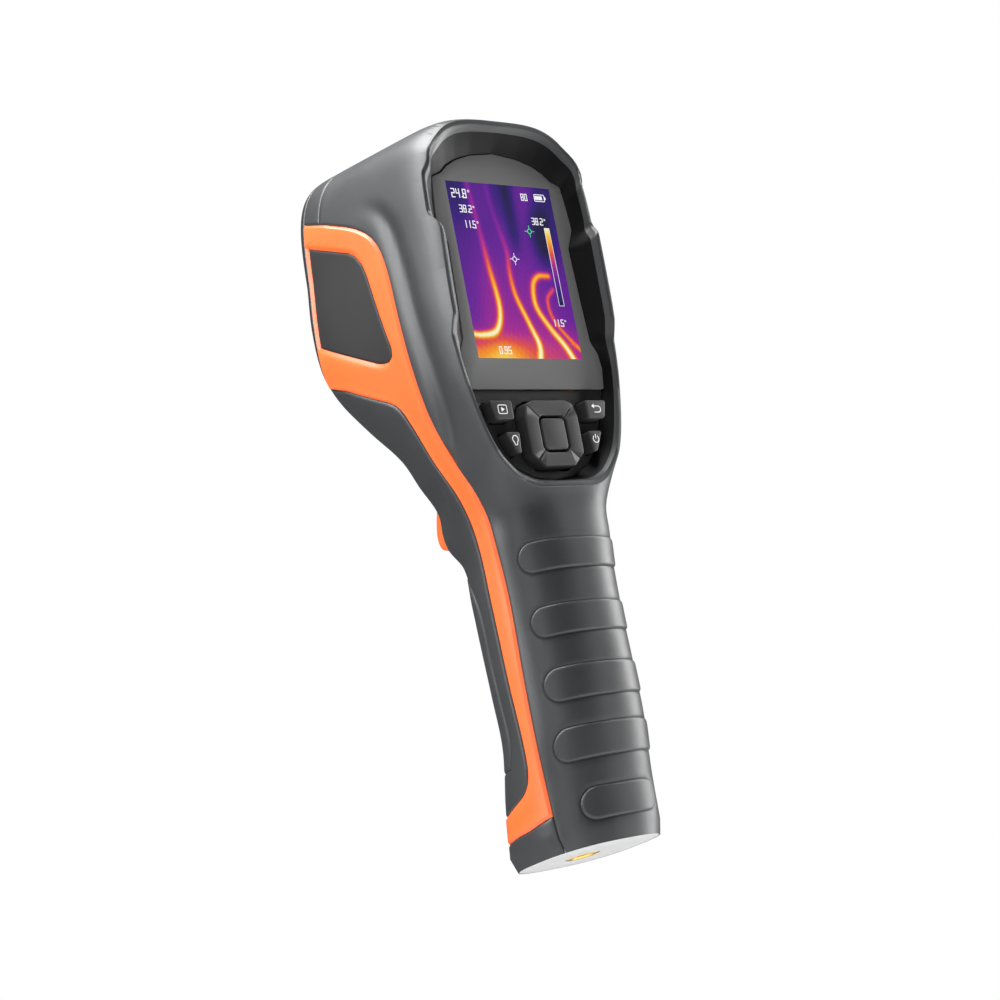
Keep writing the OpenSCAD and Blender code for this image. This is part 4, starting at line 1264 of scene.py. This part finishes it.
holes = [grow(rounded(NAV, 0.8), 0.62)]
for outline in (WIDE, NARROW):
    for p in (outline, flip(outline)):
        holes.append(grow(rounded(p, 0.5), 0.34))
slab("keypad_face", [grow(DECK_LOOP, -0.1)] + holes, 1.5, 0.14, on_display(0.5), M["deck"],
     ["keypad_panel"])
for word, outline in (("back", WIDE), ("play", flip(WIDE)), ("power", NARROW), ("light", flip(NARROW))):
    slab(f"key_{word}_cap", [rounded(outline, 0.75, 5)], RISE + 2.4, 0.42, on_display(-RISE), M["key"],
         ["key_" + word], word + "_key", 4)
slab("nav_ring_cap", [rounded(NAV, 1.0, 5), grow(rounded(OK, 0.7, 4), 0.75)], RISE + 1.9, 0.40, on_display(-RISE),
     M["key"], ["nav_ring"], "nav_top", 4)
# diagonal grooves of the ring: direction across, direction up, width
NAV_Z = -46.05
grooves = Solid()
for gx, gz, wide in ((-1, 1, 0.30), (1, -1, 0.30), (1, 1, 0.55), (-1, -1, 0.55)):
    ax, az = gx * 4.0, NAV_Z + gz * 4.0
    bx, bz = gx * 9.6, NAV_Z + gz * 9.2
    ux, uz = bx - ax, bz - az
    ln = math.hypot(ux, uz)
    px, pz = -uz / ln * wide / 2, ux / ln * wide / 2
    corners = [(ax + px, az + pz), (bx + px, bz + pz), (bx - px, bz - pz), (ax - px, az - pz)]
    grooves.add([display_point(x, y, z) for y in (-RISE - 1.0, -RISE + 0.35) for x, z in corners],
                [(0, 1, 2, 3), (7, 6, 5, 4), (0, 4, 5, 1), (1, 5, 6, 2), (2, 6, 7, 3), (3, 7, 4, 0)])
cutter = make("groove_cutter", grooves.v, grooves.f, M["key"])
bm = bmesh.new()
bm.from_mesh(cutter.data)
bmesh.ops.recalc_face_normals(bm, faces=bm.faces)
bm.to_mesh(cutter.data)
bm.free()
nav_cap = bpy.data.objects["nav_ring_cap"]
cut = nav_cap.modifiers.new("grooves", "BOOLEAN")
cut.operation = "DIFFERENCE"
cut.solver = "EXACT"
cut.object = cutter
cut_mesh = bpy.data.meshes.new_from_object(nav_cap.evaluated_get(bpy.context.evaluated_depsgraph_get()))
nav_cap.modifiers.clear()
nav_cap.data = cut_mesh
bpy.data.objects.remove(cutter)
slab("nav_ok_cap", [rounded(OK, 0.7, 5)], RISE + 2.8, 0.34, on_display(-RISE + 0.1), M["key"], ["nav_ok"],
     "ok_key", 4)


# printed marks on the keys, drawn about each key's middle
def arc(r, start, stop, n, cx=0.0, cy=0.0):
    return [(cx + r * math.cos(t), cy + r * math.sin(t)) for t in np.linspace(start, stop, n)]


SYMBOLS = {
    "play": ((-16.6, -39.35), [stroke(rect(2.9, 2.3, 0, 0, 0.5), 0.24, True),
                               [[(-0.45, -0.62), (0.72, 0), (-0.45, 0.62)]]]),
    "back": ((16.6, -39.35), [stroke([(-1.0, -0.95), *arc(0.85, -1.57, 1.57, 12, 0.55, -0.1), (-1.0, 0.75)], 0.26),
                              [[(-1.75, 0.75), (-0.85, 0.1), (-0.85, 1.4)]]]),
    "light": ((-14.2, -47.7), [stroke([(0.35, -1.15), *arc(0.95, -0.9, 4.04, 18, 0, 0.35), (-0.35, -1.15)], 0.24),
                               [rect(0.95, 0.2, 0, -1.2, 0.05)]]),
    "power": ((14.2, -47.7), [stroke(arc(1.0, 2.2, 7.22, 20), 0.26), [rect(0.26, 1.2, 0, 0.75, 0.08)]]),
}
for word, (middle, groups) in SYMBOLS.items():
    placed = [[np.asarray(loop, float) + np.array(middle) for loop in loops] for loops in groups]
    marks("mark_" + word, placed, -RISE - 0.03, M["mark"], word + "_key")

# ============ base face, insert, trigger ============
half_foot = surface(np.zeros(60), np.linspace(0, math.pi, 60))[:, :2].tolist()
foot = half_foot + [(-x, y) for x, y in half_foot[::-1] if abs(x) > 1e-3]
slab("base_face_plate", [grow(foot, -0.25), circle(4.75, 48)], 1.2, 0.2, lambda x, y, z: (x, y, -z + 0.02),
     M["base"])


def lathe(name, profile, place, mat, node, n=96):
    """Solid of revolution; profile is (radius, along) and place maps (x, y, along)."""
    verts, faces = [], []
    m = len(profile)
    for i in range(n):
        turn = 2 * math.pi * i / n
        verts += [place(r * math.cos(turn), r * math.sin(turn), t) for r, t in profile]
    for i in range(n):
        k = (i + 1) % n
        for j in range(m):
            q = (j + 1) % m
            if profile[j][0] > 1e-6 or profile[q][0] > 1e-6:
                faces.append((i * m + j, k * m + j, k * m + q, i * m + q))
    ob = make(name, verts, faces, mat, [node])
    clean(ob.data, 0.002, 0.001, 35)


def along_lens(cx, cc):
    return lambda x, y, t: (cx + x, *head_yz(t, cc + y))


# threaded brass insert: the thread is cut as rings of one pitch
PITCH = 1.27
thread = []
z = 0.45
while z < 9.5:
    thread += [(2.62, z), (3.08, z + 0.5), (3.08, z + 0.66), (2.62, z + 1.16)]
    z += PITCH
insert = [(4.35, 0.0), (4.5, 0.15), (4.5, 9.6), (4.3, 9.8), (2.7, 9.8)] + thread[::-1] + [(3.1, 0.0)]
lathe("tripod_insert_turned", insert, lambda x, y, t: (x, y, t), M["brass"], "tripod_insert")
# trigger: a curved lever, wider than deep, rounded on every edge
TRIGGER = np.vstack([through([(11.2, 108.6), (12.4, 104), (14.7, 99), (15.8, 95.2), (15.2, 92), (12.6, 90.5)], 5),
                     [(6, 90.8), (5, 95), (4.2, 100.5), (2.2, 103.5), (2.2, 107.2), (4.4, 108.8)]])
slab("trigger_lever_moulding", [rounded(TRIGGER, 0.5, 3)], 12.0, 1.0, lambda x, y, z: (z + 6.0, x, y), M["trim"],
     ["trigger"], "trigger_lever", 4)

# lens group and windows on the front face
LENS_AXIS, CAMERA_AXIS, LAMP_AXIS = along_lens(0, 14), along_lens(-10, -9), along_lens(10, -9)
barrel = [(7.6, 40.0), (8.55, 55.0), (8.55, 61.9), (8.9, 62.4), (9.6, 62.4), (9.95, 62.0), (9.95, 59.8), (9.6, 59.5),
          (9.6, 58.9), (9.95, 58.6), (10.0, 40.0)]
dome = [(8.45 * math.cos(t), 57.05 + 1.25 * math.sin(t)) for t in np.linspace(0, math.pi / 2, 14)]
germanium = [(0.0, 55.1), (8.45, 55.1)] + dome[:-1] + [(0.0, 58.3)]
retainer = [(7.4, 59.25), (8.48, 59.25), (8.48, 60.7), (8.3, 60.85), (7.75, 60.85), (7.4, 60.3)]
window = [(0.0, 59.25), (4.0, 59.25), (4.0, 60.2), (3.75, 60.4), (0.0, 60.4)]
ripple = [(r, 60.0 + 0.55 * math.cos(r * 4.2) * (1 - r / 5)) for r in np.linspace(3.6, 0.0, 26)]
lamp = [(0.0, 57.3), (4.0, 57.3), (4.0, 60.1), (3.8, 60.35)] + ripple
lathe("lens_barrel_turned", barrel, LENS_AXIS, M["barrel"], "lens_barrel")
lathe("germanium_lens_ground", germanium, LENS_AXIS, M["germanium"], "germanium_lens")
lathe("lens_retainer_ring", retainer, LENS_AXIS, M["barrel"], "lens_retainer")
lathe("camera_window_disc", window, CAMERA_AXIS, M["smoke"], "camera_window", n=48)
lathe("lamp_lens_moulding", lamp, LAMP_AXIS, M["clear"], "lamp_lens", n=48)

# ============ materials of the pieces that keep their CAD shape ============
KEPT = {
    "display_gasket": "silicone", "nav_collar": "black", "keypad_membrane": "silicone", "dome_switches": "gold",
    "key_board": "board", "main_board": "board", "core_housing": "cast", "detector_board": "board",
    "detector": "ceramic", "shutter_blade": "black", "shutter_motor": "steel", "visible_camera": "black",
    "lamp_led": "led", "trigger_pin": "steel", "trigger_spring": "steel", "trigger_switch": "black",
    "battery_cradle": "cradle", "battery_cell": "cell", "battery_contacts": "gold", "port_board": "board",
    "usb_socket": "steel", "card_socket": "steel", "shell_screws": "steel", "board_screws": "steel"}
for node_name, mat_name in KEPT.items():
    ob = frame["nodes"][node_name]
    ob.data.materials.clear()
    ob.data.materials.append(M[mat_name])

# ============ stage ============
bpy.ops.mesh.primitive_plane_add(size=8, location=(0, 0, -0.35))
floor = bpy.context.object
floor.name = "floor"
floor_mat, floor_tree, floor_bsdf = node_material("floor_pale")
plug(floor_tree, floor_bsdf, {"Base Color": (0.93, 0.93, 0.93, 1), "Roughness": 0.9})
floor.data.materials.append(floor_mat)


def backward(az, el):
    """Unit vector from the aim towards a light or the camera."""
    a, e = math.radians(az), math.radians(el)
    return Vector((math.sin(a) * math.cos(e), -math.cos(a) * math.cos(e), math.sin(e)))


def aim_at(name, data, aim, back, dist, roll_angle=0.0):
    """An object dist from aim, looking at it, turned about its line of sight."""
    ob = bpy.data.objects.new(name, data)
    bpy.context.scene.collection.objects.link(ob)
    ob.location = aim + back * dist
    ob.rotation_mode = "QUATERNION"
    look = (-back).to_track_quat("-Z", "Y")
    ob.rotation_quaternion = look @ Matrix.Rotation(math.radians(roll_angle), 4, "Z").to_quaternion()
    return ob


def area(name, az, el, dist, size, power):
    light = bpy.data.lights.new(name, "AREA")
    light.shape = "RECTANGLE"
    light.size, light.size_y = size
    light.energy = power
    aim_at(name, light, Vector((0, -0.01, 0.10)), backward(az, el), dist)


area("key_light_left", -105, 32, 0.8, (0.30, 0.8), 10)
area("rim_light_right", 75, 5, 0.8, (0.22, 0.9), 9)
area("top_light", -60, 80, 0.7, (0.7, 0.35), 13)
area("front_soft", -48, 2, 1.2, (0.8, 0.8), 3.0)
area("low_light", -70, -70, 0.8, (0.5, 0.5), 5)

# the floor and the background are white to the camera, and the ambient light is weak
world = bpy.data.worlds.new("studio")
bpy.context.scene.world = world
world.use_nodes = True
tree = world.node_tree
path = tree.nodes.new("ShaderNodeLightPath")
ambient = add_node(tree, "MapRange", {"Value": path.outputs["Is Camera Ray"], "To Min": 0.11, "To Max": 1.0})
plug(tree, tree.nodes["Background"], {"Color": (1, 1, 1, 1), "Strength": ambient.outputs["Result"]})

# ============ camera: looks up at the tilted head from the left, rolled as the photo is ============
CAM_AZ, CAM_EL, CAM_ROLL, CAM_DIST = -42.32, -15.29, -15.95, 0.5776
CAM_AIM = Vector((-0.00089, -0.00816, 0.09721))
lens = bpy.data.cameras.new("camera")
lens.lens = 76.94
lens.sensor_width = 36
lens.clip_start, lens.clip_end = 0.01, 30
bpy.context.scene.camera = aim_at("photo_camera", lens, CAM_AIM, backward(CAM_AZ, CAM_EL), CAM_DIST, CAM_ROLL)
bpy.context.scene.view_settings.view_transform = "Standard"
